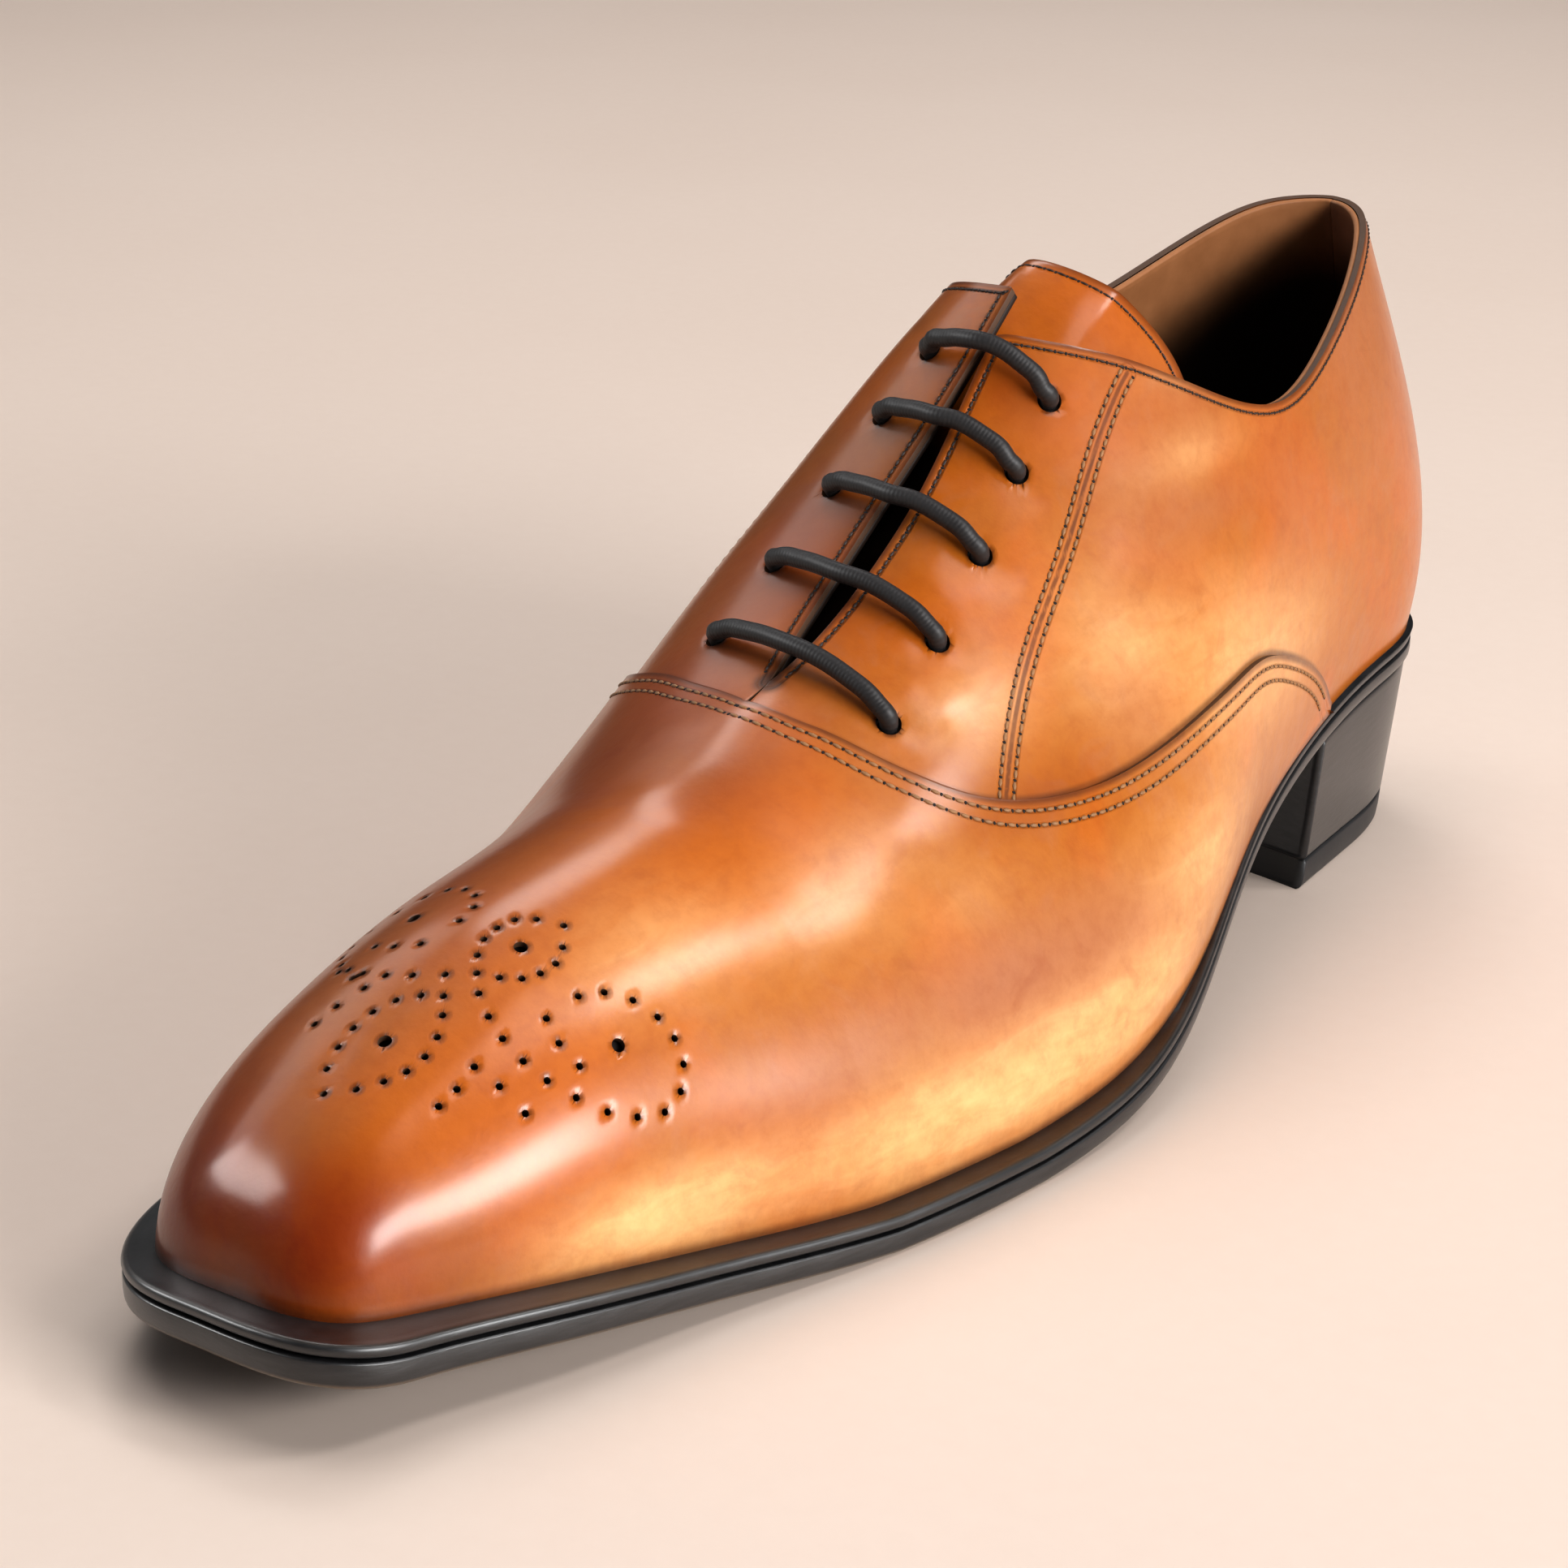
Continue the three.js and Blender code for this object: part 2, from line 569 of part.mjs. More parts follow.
const eyeletPlaces = eyelets.map(([u, outerShare, innerShare]) =>
  [[1, outerShare], [-1, innerShare]].map(([side, share]) => {
    const v = atDistance(side, u, share * lastWidth);
    return { side, u, v, point: offsetPoint(side, u, v, quarterFace), normal: lastNormal(side, u, v) };
  }),
);
function eyeletHole({ point, normal }) {
  const sides = 12;
  const cylinder = bare(new THREE.CylinderGeometry(eyelet / 2, eyelet / 2, 4 * wall, sides));
  const drill = mergeVertices(cylinder, 1e-4);
  drill.applyQuaternion(new THREE.Quaternion().setFromUnitVectors(new THREE.Vector3(0, 1, 0), normal));
  drill.translate(point.x, point.y, point.z);
  return solid(drill);
}
function bare(geometry) {
  geometry.deleteAttribute("normal");
  geometry.deleteAttribute("uv");
  return geometry;
}
function upper() {
  const quarters = lastShell({
    columns: upperColumns, rows: upperRows, inner: quarterFace - wall, outer: quarterFace, top: upperTop,
  });
  const vamp = lastShell({
    columns: vampColumns, rows: vampRows, inner: quarterFace - lapDepth * wall, outer: vampFace, top: vampTop,
  });
  let body = solid(quarters).add(solid(vamp));
  for (const hole of eyeletPlaces.flat()) body = body.subtract(eyeletHole(hole));
  return geometryOf(body.simplify(sliver));
}

// Tongue: a sheet under the facings, from below the vamp to a straight end square to the instep
const tongueTuck = 9; // the tongue starts under the vamp, this far ahead of the slot
const tongueStart = slotStart - tongueTuck;
const tongueTopY = collarStart + tongueRise;
const tongueCorner = 12; // the end's corners are rounded down by this much
const tongueWaist = 0.62; // its width at the vamp, a share of its width at the end
const tongueLift = 4; // it sinks below the facings over this length behind the throat
const tongueRows = 14;
const tongueHalfSteps = 6;
const crownSteps = 3; // steps each side of the middle that bridge the slot in one smooth crown
const crownPull = 0.2; // roundness of the crown, a share of its width
const underFacing = wall + gap + laceDiameter + gap - quarterFace;
const underVamp = wall + gap - quarterFace;
const tongueFirst = lastInside((u) => ridgeAt.along(u) < tongueStart);
const tongueLast = lastInside((u) => ridgeAt.along(u) < tongueTopY);
function tonguePoint(u, t, half, extra) {
  const side = t < 0 ? -1 : 1;
  const v = atDistance(side, u, Math.abs(t) * half);
  const behind = (ridgeAt.along(u) - slotStart) / tongueLift;
  const depth = THREE.MathUtils.lerp(underVamp, underFacing, THREE.MathUtils.smoothstep(behind, -0.5, 1));
  return offsetPoint(side, u, v, -depth - extra);
}
// u at which the line t of the tongue meets its end
function tongueEnd(t) {
  const apex = ridgePoint(1, tongueLast);
  const instep = apex.clone().sub(ridgePoint(1, throat)).setX(0).normalize();
  const inwards = new THREE.Vector3(0, instep.z, -instep.y);
  apex.addScaledVector(inwards, underFacing);
  return lastInside((u) => tonguePoint(u, t, tongueHalf, 0).sub(apex).dot(instep) < -tongueCorner * t ** 8);
}
function tongueRow(share, ends, extra) {
  const half = tongueHalf * THREE.MathUtils.lerp(tongueWaist, 1, Math.sqrt(share));
  const arm = (side) =>
    ends[side].map((end, k) => {
      const u = THREE.MathUtils.lerp(tongueFirst, end, share);
      return tonguePoint(u, side * (1 - k / tongueHalfSteps), half, extra);
    });
  const [outerArm, innerArm] = [arm(1), arm(-1)];
  const [a, b] = [outerArm.at(-1), innerArm.at(-1)];
  const pull = crownPull * a.distanceTo(b);
  const onwards = (row) => {
    const ahead = row.at(-1).clone().sub(row.at(-2)).normalize();
    return row.at(-1).clone().addScaledVector(ahead, pull);
  };
  const crown = new THREE.CubicBezierCurve3(a, onwards(outerArm), onwards(innerArm), b);
  const middle = crown.getPoints(2 * crownSteps).slice(1, -1);
  return [...outerArm, ...middle, ...innerArm.reverse()];
}
function tongue() {
  const skin = new Skin();
  const lines = Array.from({ length: tongueHalfSteps - crownSteps + 1 }, (_, k) => 1 - k / tongueHalfSteps);
  const endsOf = (side) => lines.map((t) => tongueEnd(side * t));
  const ends = { 1: endsOf(1), [-1]: endsOf(-1) };
  const shares = Array.from({ length: tongueRows + 1 }, (_, i) => i / tongueRows);
  const rows = (extra) => shares.map((share) => tongueRow(share, ends, extra));
  const out = rows(0);
  const inn = rows(tongueThickness);
  for (let i = 0; i < tongueRows; i++) {
    skin.band(out[i], out[i + 1]);
    skin.band([...inn[i]].reverse(), [...inn[i + 1]].reverse());
    skin.quad(out[i][0], out[i + 1][0], inn[i + 1][0], inn[i][0]);
    skin.quad(...[out[i], out[i + 1], inn[i + 1], inn[i]].map((row) => row.at(-1)).reverse());
  }
  skin.band(inn[0], out[0]);
  skin.band(out.at(-1), inn.at(-1));
  return skin.geometry();
}

// A round cord through the given points, closed at both ends
function cord(points, radius, sides) {
  const skin = new Skin();
  const tangents = points.map((p, i) =>
    (points[i + 1] ?? p).clone().sub(points[i - 1] ?? p).normalize(),
  );
  let reference = new THREE.Vector3(0, 0, 1).cross(tangents[0]).normalize();
  const rings = points.map((p, i) => {
    reference = reference.clone().addScaledVector(tangents[i], -reference.dot(tangents[i])).normalize();
    const other = new THREE.Vector3().crossVectors(tangents[i], reference);
    return steps(0, 2 * Math.PI, sides).map((angle) => {
      const beside = p.clone().addScaledVector(reference, radius * Math.cos(angle));
      return beside.addScaledVector(other, radius * Math.sin(angle));
    });
  });
  for (let i = 0; i < rings.length - 1; i++) skin.band(closed(rings[i]), closed(rings[i + 1]));
  for (let k = 1; k < sides - 1; k++) {
    skin.triangle(rings[0][0], rings[0][k + 1], rings[0][k]);
    skin.triangle(rings.at(-1)[0], rings.at(-1)[k], rings.at(-1)[k + 1]);
  }
  return skin.geometry();
}

// Lace: five bars over the slot, joined by runs under the facings from row to row
const laceRadius = laceDiameter / 2;
const turnRadius = laceRadius + gap;
const overHeight = laceRadius + gap;
const underDepth = wall + gap + laceRadius;
// Quarter turn from one direction into another, round a corner
function quarterTurn(corner, from, into) {
  return [0, 0.5, 1].map((t) => {
    const angle = (t * Math.PI) / 2;
    return corner
      .clone()
      .addScaledVector(from, turnRadius * (Math.sin(angle) - 1))
      .addScaledVector(into, turnRadius * (1 - Math.cos(angle)));
  });
}
const besideRidge = (hole) => hole.point.x - ridgeAt.lean(hole.u);
function lace() {
  const points = [];
  const barSteps = 6;
  eyeletPlaces.forEach((row, k) => {
    const [start, end] = k % 2 ? [row[1], row[0]] : [row[0], row[1]];
    const overRidge = end.point.clone().sub(start.point).normalize();
    const level = (n) => overRidge.clone().addScaledVector(n, -overRidge.dot(n)).normalize();
    const [inN, outN] = [start.normal, end.normal];
    const above = (hole) => hole.point.clone().addScaledVector(hole.normal, overHeight);
    const below = (hole) => hole.point.clone().addScaledVector(hole.normal, -underDepth);
    if (k) {
      const before = eyeletPlaces[k - 1][k % 2 ? 1 : 0];
      const run = below(start).sub(below(before));
      run.addScaledVector(inN, -run.dot(inN)).normalize();
      points.push(...quarterTurn(below(start), run, inN));
    } else points.push(below(start));
    points.push(...quarterTurn(above(start), inN, level(inN)));
    for (let i = 1; i < barSteps; i++) {
      const t = i / barSteps;
      const across = THREE.MathUtils.lerp(besideRidge(start), besideRidge(end), t);
      const side = across < 0 ? -1 : 1;
      const u = start.u;
      const v = Math.abs(across) < 1 ? 1 : atDistance(side, u, Math.abs(across));
      const p = lastPoint(side, u, v);
      const n = start.normal.clone().lerp(end.normal, t).normalize();
      points.push(p.addScaledVector(n, overHeight + quarterFace));
    }
    points.push(...quarterTurn(above(end), level(outN), outN.clone().negate()));
    if (k < eyeletPlaces.length - 1) {
      const next = eyeletPlaces[k + 1][k % 2 ? 0 : 1];
      const run = below(next).sub(below(end));
      run.addScaledVector(outN, -run.dot(outN)).normalize();
      points.push(...quarterTurn(below(end), outN.clone().negate(), run));
    } else points.push(below(end));
  });
  return cord(points, laceRadius, 8);
}
// Finishes
const leather = new THREE.MeshStandardMaterial({ color: 0xb5612c, roughness: 0.35, metalness: 0 });
const lining = new THREE.MeshStandardMaterial({ color: 0xa98556, roughness: 0.7, metalness: 0 });
const blackEdge = new THREE.MeshStandardMaterial({ color: 0x1c1b1d, roughness: 0.45, metalness: 0 });
const rubber = new THREE.MeshStandardMaterial({ color: 0x171719, roughness: 0.6, metalness: 0 });
const darkCord = new THREE.MeshStandardMaterial({ color: 0x2c2623, roughness: 0.8, metalness: 0 });

const heelTopY = (y) => soleBottom(y) - gap;
const pieces = {
  outsole: [outsole(), blackEdge],
  welt: [welt(), blackEdge],
  heel_stack: [heelBlock(() => toplift + gap, heelTopY), blackEdge],
  heel_toplift: [heelBlock(() => 0, () => toplift), rubber],
  insole: [insole(), lining],
  upper: [upper(), leather],
  tongue: [tongue(), leather],
  lace: [lace(), darkCord],
};

const shoe = new THREE.Group();
for (const [name, [geometry, material]] of Object.entries(pieces)) {
  const mesh = new THREE.Mesh(geometry, material);
  mesh.name = name;
  shoe.add(mesh);
}
// The origin goes under the middle of the box.
const box = new THREE.Box3().setFromObject(shoe);
const middle = box.getCenter(new THREE.Vector3());
shoe.position.set(-middle.x, -middle.y, 0);

export default shoe;
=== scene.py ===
# The finished look of a left oxford shoe in burnished cognac calf. Metres, +Z up, toe towards -Y,
# outer side towards +X. Every piece follows one function, last_point: a point of the last at u, the way
# round its edge from the toe (0) to the heel (1), and v, the way up from the feather line to the ridge.
import json
import math

import bmesh
import bpy
import numpy as np
from mathutils import Matrix, Vector
from mathutils.kdtree import KDTree

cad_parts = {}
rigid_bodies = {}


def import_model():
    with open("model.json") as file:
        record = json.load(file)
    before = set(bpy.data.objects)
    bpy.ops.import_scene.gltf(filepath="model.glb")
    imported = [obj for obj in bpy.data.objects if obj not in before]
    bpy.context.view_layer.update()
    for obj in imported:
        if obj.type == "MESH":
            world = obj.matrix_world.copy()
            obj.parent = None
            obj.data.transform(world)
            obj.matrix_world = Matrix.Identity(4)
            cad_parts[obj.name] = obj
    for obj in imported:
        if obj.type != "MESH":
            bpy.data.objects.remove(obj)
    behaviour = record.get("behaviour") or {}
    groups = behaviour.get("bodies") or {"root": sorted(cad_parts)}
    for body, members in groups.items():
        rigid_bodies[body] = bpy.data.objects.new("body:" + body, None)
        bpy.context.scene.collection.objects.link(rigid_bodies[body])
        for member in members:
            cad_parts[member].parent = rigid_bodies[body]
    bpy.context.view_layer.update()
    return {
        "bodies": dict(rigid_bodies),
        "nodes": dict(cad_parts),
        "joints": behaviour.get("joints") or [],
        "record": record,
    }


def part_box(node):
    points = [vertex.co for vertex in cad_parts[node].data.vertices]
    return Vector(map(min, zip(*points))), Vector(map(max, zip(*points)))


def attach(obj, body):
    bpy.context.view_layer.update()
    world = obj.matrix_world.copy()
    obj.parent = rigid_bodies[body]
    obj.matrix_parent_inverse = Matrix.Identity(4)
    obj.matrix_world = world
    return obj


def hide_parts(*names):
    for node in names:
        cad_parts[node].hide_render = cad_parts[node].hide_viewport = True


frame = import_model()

MM = 0.001

# Driving sizes of the shoe
LAST_LENGTH = 0.288
LAST_WIDTH = 0.088
LAST_HEIGHT = 0.104
HEEL_LIFT = 0.0294
TOE_SPRING = 0.0094
EDGE = 0.0064
WELT_REACH = 0.008
WELT_THICKNESS = 0.0019
WALL = 0.0022
INSOLE_PROUD = 0.0016
TOPLIFT = 0.0052
HEEL_SIDES = 0.055
HEEL_BACK = 0.0055
BREAST = 0.298
BREAST_LEAN = 0.003
BREAST_HOLLOW = 0.0035
HEEL_INSET = 0.0004
LACE = 0.0028
EYELET = 0.0038
TONGUE_THICKNESS = 0.0022
TONGUE_HALF = 0.024
TONGUE_RISE = 0.016
GAP = 0.0003
VAMP_FACE = 0.0005
VAMP_WALL = 0.001
QUARTER_FACE = -0.0005
QUARTER_WALL = 0.0011
LINING_FACE = -0.00165
LINING_WALL = 0.00105

# Sections of the last round its edge, as shares of its sizes
SECTION_COLUMNS = ["along", "out", "belly", "rise", "roof", "drop", "reach"]
OUTER_SECTIONS = [
    [-0.5, 0, 0.023, 0.144, 0.182, 0, 0.82],
    [-0.4986, 0.105, 0.023, 0.144, 0.182, 0, 0.88],
    [-0.49, 0.172, 0.023, 0.144, 0.17, 0, 1.0],
    [-0.465, 0.222, 0.023, 0.144, 0.17, 0, 0.88],
    [-0.403, 0.3, 0.028, 0.163, 0.19, 0, 0.77],
    [-0.316, 0.382, 0.04, 0.192, 0.227, 0, 0.68],
    [-0.219, 0.477, 0.057, 0.212, 0.25, 0, 0.65],
    [-0.125, 0.533, 0.068, 0.231, 0.261, 0, 0.6],
    [-0.031, 0.556, 0.08, 0.269, 0.227, 0, 0.48],
    [0.073, 0.505, 0.091, 0.327, 0.157, 0.02, 0.22],
    [0.177, 0.414, 0.092, 0.376, 0.13, 0.047, 0.12],
    [0.281, 0.354, 0.08, 0.346, 0.115, 0.19, 0.04],
    [0.372, 0.322, 0.075, 0.346, 0.06, 0.229, 0.04],
    [0.448, 0.26, 0.105, 0.34, 0.01, 0.245, 0.04],
    [0.49, 0.115, 0.12, 0.33, -0.005, 0.26, 0.04],
    [0.5, 0, 0.122, 0.327, -0.008, 0.269, 0.04],
]
INNER_SECTIONS = [
    [-0.5, 0, 0.023, 0.144, 0.182, 0, 0.82],
    [-0.4986, 0.1, 0.023, 0.144, 0.182, 0, 0.76],
    [-0.49, 0.162, 0.023, 0.144, 0.17, 0, 0.62],
    [-0.465, 0.23, 0.025, 0.155, 0.182, 0, 0.55],
    [-0.403, 0.297, 0.031, 0.173, 0.195, 0, 0.6],
    [-0.316, 0.368, 0.036, 0.202, 0.215, 0, 0.68],
    [-0.219, 0.436, 0.045, 0.209, 0.23, 0, 0.69],
    [-0.125, 0.432, 0.07, 0.252, 0.39, 0, 0.62],
    [-0.031, 0.377, 0.093, 0.291, 0.51, 0, 0.44],
    [0.073, 0.32, 0.103, 0.338, 0.47, 0.012, 0.19],
    [0.177, 0.301, 0.1, 0.376, 0.345, 0.056, 0.06],
    [0.281, 0.315, 0.08, 0.365, 0.165, 0.154, 0.04],
    [0.372, 0.316, 0.072, 0.34, 0.055, 0.229, 0.04],
    [0.448, 0.25, 0.1, 0.337, 0.01, 0.24, 0.04],
    [0.49, 0.115, 0.12, 0.33, 0, 0.255, 0.04],
    [0.5, 0, 0.122, 0.327, -0.008, 0.269, 0.04],
]
RIDGE_COLUMNS = ["along", "split", "height", "lean"]
RIDGE = [
    [-0.417, 0, 0.37, 0], [-0.412, 0, 0.377, 0], [-0.401, 0, 0.392, 0], [-0.381, 0, 0.417, 0],
    [-0.339, 0, 0.457, 0], [-0.274, 0, 0.489, 0], [-0.201, 0, 0.525, 0], [-0.128, 0, 0.583, 0.005],
    [-0.052, 0, 0.688, 0.005], [0.035, 0, 0.884, 0.02], [0.125, 0.012, 1.115, 0.038],
    [0.212, 0.11, 1.165, 0.025], [0.316, 0.142, 1.212, 0], [0.406, 0.095, 1.262, 0],
    [0.451, 0.045, 1.268, 0], [0.464, 0, 1.258, 0],
]
# Underside of the sole, then the thickness of its edge: place, share of toe spring, heel lift or edge
UNDER_FRONT = [
    [-0.528, 1], [-0.486, 0.78], [-0.417, 0.6], [-0.33, 0.3], [-0.243, 0.045], [-0.174, -0.05],
    [-0.104, 0.035],
]
UNDER_BACK = [
    [-0.035, 0.085], [0.052, 0.28], [0.156, 0.62], [0.26, 0.85], [0.347, 0.975], [0.434, 1], [0.53, 1],
]
EDGE_RUN = [
    [-0.528, 1], [-0.33, 0.92], [-0.104, 0.86], [0.035, 0.8], [0.104, 0.76], [0.26, 0.76],
    [0.4, 0.78], [0.53, 0.78],
]
# Collar line of each side, half width of the slot, and the vamp's back edge in u and v
COLLAR_OUTER = [
    [0.078, 1], [0.128, 0.953], [0.191, 0.871], [0.247, 0.834], [0.316, 0.876], [0.385, 0.95], [0.441, 1],
    [0.482, 1.013],
]
COLLAR_INNER = [
    [0.078, 1.075], [0.128, 1.02], [0.191, 0.935], [0.247, 0.892], [0.316, 0.895], [0.385, 0.955],
    [0.441, 1.005], [0.482, 1.013],
]
SLOT_HALF = [
    [-0.107, 0], [-0.085, 0.015], [-0.031, 0.029], [0.01, 0.027], [0.038, 0.018], [0.07, 0.009],
    [0.12, 0.009],
]
VAMP_EDGE = [
    [0.393, 1], [0.396, 0.92], [0.402, 0.84], [0.41, 0.75], [0.42, 0.665], [0.434, 0.585],
    [0.452, 0.52], [0.475, 0.465], [0.505, 0.412], [0.545, 0.357], [0.59, 0.3], [0.635, 0.25],
    [0.675, 0.215], [0.705, 0.178], [0.733, 0.132], [0.757, 0.068], [0.77, 0.015],
]
# Eyelets: u, then the distance from the centre line on the outer and the inner side, shares of the width
EYELETS = [
    [0.434, 0.203, 0.172], [0.484, 0.184, 0.162], [0.531, 0.159, 0.146], [0.571, 0.138, 0.132],
    [0.604, 0.125, 0.11],
]
OUTER, INNER = 1, -1
SIDES = (OUTER, INNER)


# The last
def spline(xs, ys):
    """A natural cubic spline through (xs, ys), straight beyond its ends."""
    xs, ys = np.asarray(xs, float), np.asarray(ys, float)
    h = np.diff(xs)
    n = len(xs)
    left = np.eye(n)
    right = np.zeros(n)
    for i in range(1, n - 1):
        left[i, i - 1:i + 2] = h[i - 1], 2 * (h[i - 1] + h[i]), h[i]
        right[i] = 6 * ((ys[i + 1] - ys[i]) / h[i] - (ys[i] - ys[i - 1]) / h[i - 1])
    bend = np.linalg.solve(left, right)
    first = (ys[1] - ys[0]) / h[0] - h[0] * bend[1] / 6
    last = (ys[-1] - ys[-2]) / h[-1] + h[-1] * bend[-2] / 6

    def at(x):
        x = np.asarray(x, float)
        i = np.clip(np.searchsorted(xs, x) - 1, 0, n - 2)
        a = (xs[i + 1] - x) / h[i]
        b = 1 - a
        y = a * ys[i] + b * ys[i + 1] + ((a ** 3 - a) * bend[i] + (b ** 3 - b) * bend[i + 1]) * h[i] ** 2 / 6
        y = np.where(x < xs[0], ys[0] + first * (x - xs[0]), y)
        return np.where(x > xs[-1], ys[-1] + last * (x - xs[-1]), y)
    return at


def scaled(rows, x_unit, y_unit):
    xs, ys = np.array(rows, float).T
    return spline(xs * x_unit, ys * y_unit)


UNITS = dict(along=LAST_LENGTH, out=LAST_WIDTH, belly=LAST_WIDTH, rise=LAST_HEIGHT, roof=LAST_WIDTH,
             drop=LAST_HEIGHT, reach=WELT_REACH, split=LAST_WIDTH, height=LAST_HEIGHT, lean=LAST_WIDTH)


def columns_of(rows, names):
    return {name: np.array([row[i] for row in rows], float) * UNITS[name] for i, name in enumerate(names)}


TABLE = {
    OUTER: columns_of(OUTER_SECTIONS, SECTION_COLUMNS),
    INNER: columns_of(INNER_SECTIONS, SECTION_COLUMNS),
}
RIDGE_TABLE = columns_of(RIDGE, RIDGE_COLUMNS)
RUN = np.mean([np.hypot(np.diff(TABLE[s]["along"]), np.diff(TABLE[s]["out"])) for s in SIDES], axis=0)
PLACES = np.concatenate([[0], np.cumsum(RUN)]) / RUN.sum()
RUN_ON = 3


def across_ends(own, other, sign):
    """A column as a curve of u that runs on smoothly into the other side at the toe and at the heel."""
    before = sign * other[RUN_ON:0:-1]
    after = sign * other[-2:-2 - RUN_ON:-1]
    xs = np.concatenate([-PLACES[RUN_ON:0:-1], PLACES, 2 - PLACES[-2:-2 - RUN_ON:-1]])
    return spline(xs, np.concatenate([before, own, after]))


SECTION = {side: {name: across_ends(TABLE[side][name], TABLE[-side][name], -1 if name == "out" else 1)
                  for name in SECTION_COLUMNS} for side in SIDES}
RIDGE_AT = {name: across_ends(col, col, -1 if name == "split" else 1) for name, col in RIDGE_TABLE.items()}
ridge_height = scaled([[row[0], row[2]] for row in RIDGE], LAST_LENGTH, LAST_HEIGHT)
SLOPE_STEP = 0.0005
STEP = 1e-3


def ridge_slope(y):
    return (ridge_height(y + SLOPE_STEP) - ridge_height(y - SLOPE_STEP)) / (2 * SLOPE_STEP)


underside = spline([row[0] * LAST_LENGTH for row in UNDER_FRONT + UNDER_BACK],
                   [row[1] * TOE_SPRING for row in UNDER_FRONT] + [row[1] * HEEL_LIFT for row in UNDER_BACK])
edge_thickness = scaled(EDGE_RUN, LAST_LENGTH, EDGE)


def sole_bottom(y):
    return np.maximum(0, underside(y))


def welt_top(y):
    return sole_bottom(y) + edge_thickness(y)


def welt_bottom(y):
    return welt_top(y) - WELT_THICKNESS


def outsole_top(y):
    return welt_bottom(y) - GAP


def triple(x, y, z):
    x, y, z = np.broadcast_arrays(x, y, z)
    return np.stack([x, y, z], axis=-1).astype(float)


def unit(v):
    return v / np.maximum(np.linalg.norm(v, axis=-1, keepdims=True), 1e-12)


def smooth(x, a, b):
    t = np.clip((np.asarray(x, float) - a) / (b - a), 0, 1)
    return t * t * (3 - 2 * t)


def feather(side, u):
    y = SECTION[side]["along"](u)
    return triple(side * SECTION[side]["out"](u), y, welt_top(y) + GAP)


def outward(side, u):
    u = np.asarray(u, float)
    d = feather(side, u + STEP) - feather(side, u - STEP)
    return unit(triple(d[..., 1] * side, -d[..., 0] * side, 0 * d[..., 0]))


FACING_END, FADE_END, FAN_END = PLACES[9], PLACES[12], PLACES[6]
BELLY_FOLLOW = 0.2


def ridge_point(side, u):
    split = np.where(u <= FACING_END, 0, np.maximum(0, RIDGE_AT["split"](u)))
    return triple(side * split + RIDGE_AT["lean"](u), RIDGE_AT["along"](u), RIDGE_AT["height"](u))


def last_point(side, u, v):
    u, v = np.broadcast_arrays(np.asarray(u, float), np.asarray(v, float))
    foot, n, top = feather(side, u), outward(side, u), ridge_point(side, u)
    section = SECTION[side]
    follow = np.clip((FADE_END - u) / (FADE_END - FACING_END), 0, 1) * ridge_slope(top[..., 1])
    low = foot + n * section["belly"](u)[..., None]
    low[..., 1] += BELLY_FOLLOW * (top[..., 1] - foot[..., 1])
    low[..., 2] += section["rise"](u)
    fan = foot - top
    fan[..., 2] = 0
    w = smooth(u, 0, FAN_END)[..., None]
    away = unit(unit(fan) * (1 - w) + n * w)
    roof = section["roof"](u)
    high = top + away * roof[..., None]
    high[..., 2] += away[..., 1] * roof * follow - section["drop"](u)
    t = v[..., None]
    return (1 - t) ** 3 * foot + 3 * t * (1 - t) ** 2 * low + 3 * t * t * (1 - t) * high + t ** 3 * top


def last_inside(inside, shape=()):
    """The largest number from 0 to 1 for which inside holds, where it holds from 0 on."""
    low, high = np.zeros(shape), np.ones(shape)
    for _ in range(30):
        mid = (low + high) / 2
        ok = inside(mid)
        low, high = np.where(ok, mid, low), np.where(ok, high, mid)
    return low


SLOT_START, COLLAR_START = SLOT_HALF[0][0] * LAST_LENGTH, COLLAR_OUTER[0][0] * LAST_LENGTH
THROAT = float(last_inside(lambda u: RIDGE_AT["along"](u) < SLOT_START))
FACING_TOP = float(last_inside(lambda u: RIDGE_AT["along"](u) < COLLAR_START))
ON_RIDGE = 0.9999


def last_normal(side, u, v):
    u, v = np.broadcast_arrays(np.asarray(u, float), np.asarray(v, float))
    low, high = np.maximum(0, v - STEP), np.minimum(1, v + STEP)
    up = last_point(side, u, high) - last_point(side, u, low)
    ahead = last_point(side, u + STEP, v) - last_point(side, u - STEP, v)
    n = np.cross(ahead, up) * side
    zero = np.zeros_like(u)
    n = np.where((u < STEP / 2)[..., None], triple(zero, -up[..., 2], up[..., 1]), n)
    n = np.where((u > 1 - STEP / 2)[..., None], triple(zero, up[..., 2], -up[..., 1]), n)
    n[..., 2] = np.where(v < STEP, 0, n[..., 2])
    top = triple(zero, -ridge_slope(RIDGE_AT["along"](u)), zero + 1)
    n = np.where(((v > ON_RIDGE) & (u <= THROAT))[..., None], top, n)
    return unit(n)


collar = {
    OUTER: scaled(COLLAR_OUTER, LAST_LENGTH, LAST_HEIGHT),
    INNER: scaled(COLLAR_INNER, LAST_LENGTH, LAST_HEIGHT),
}
slot_half = scaled(SLOT_HALF, LAST_LENGTH, LAST_WIDTH)
vamp_edge = spline(*np.array(VAMP_EDGE).T)


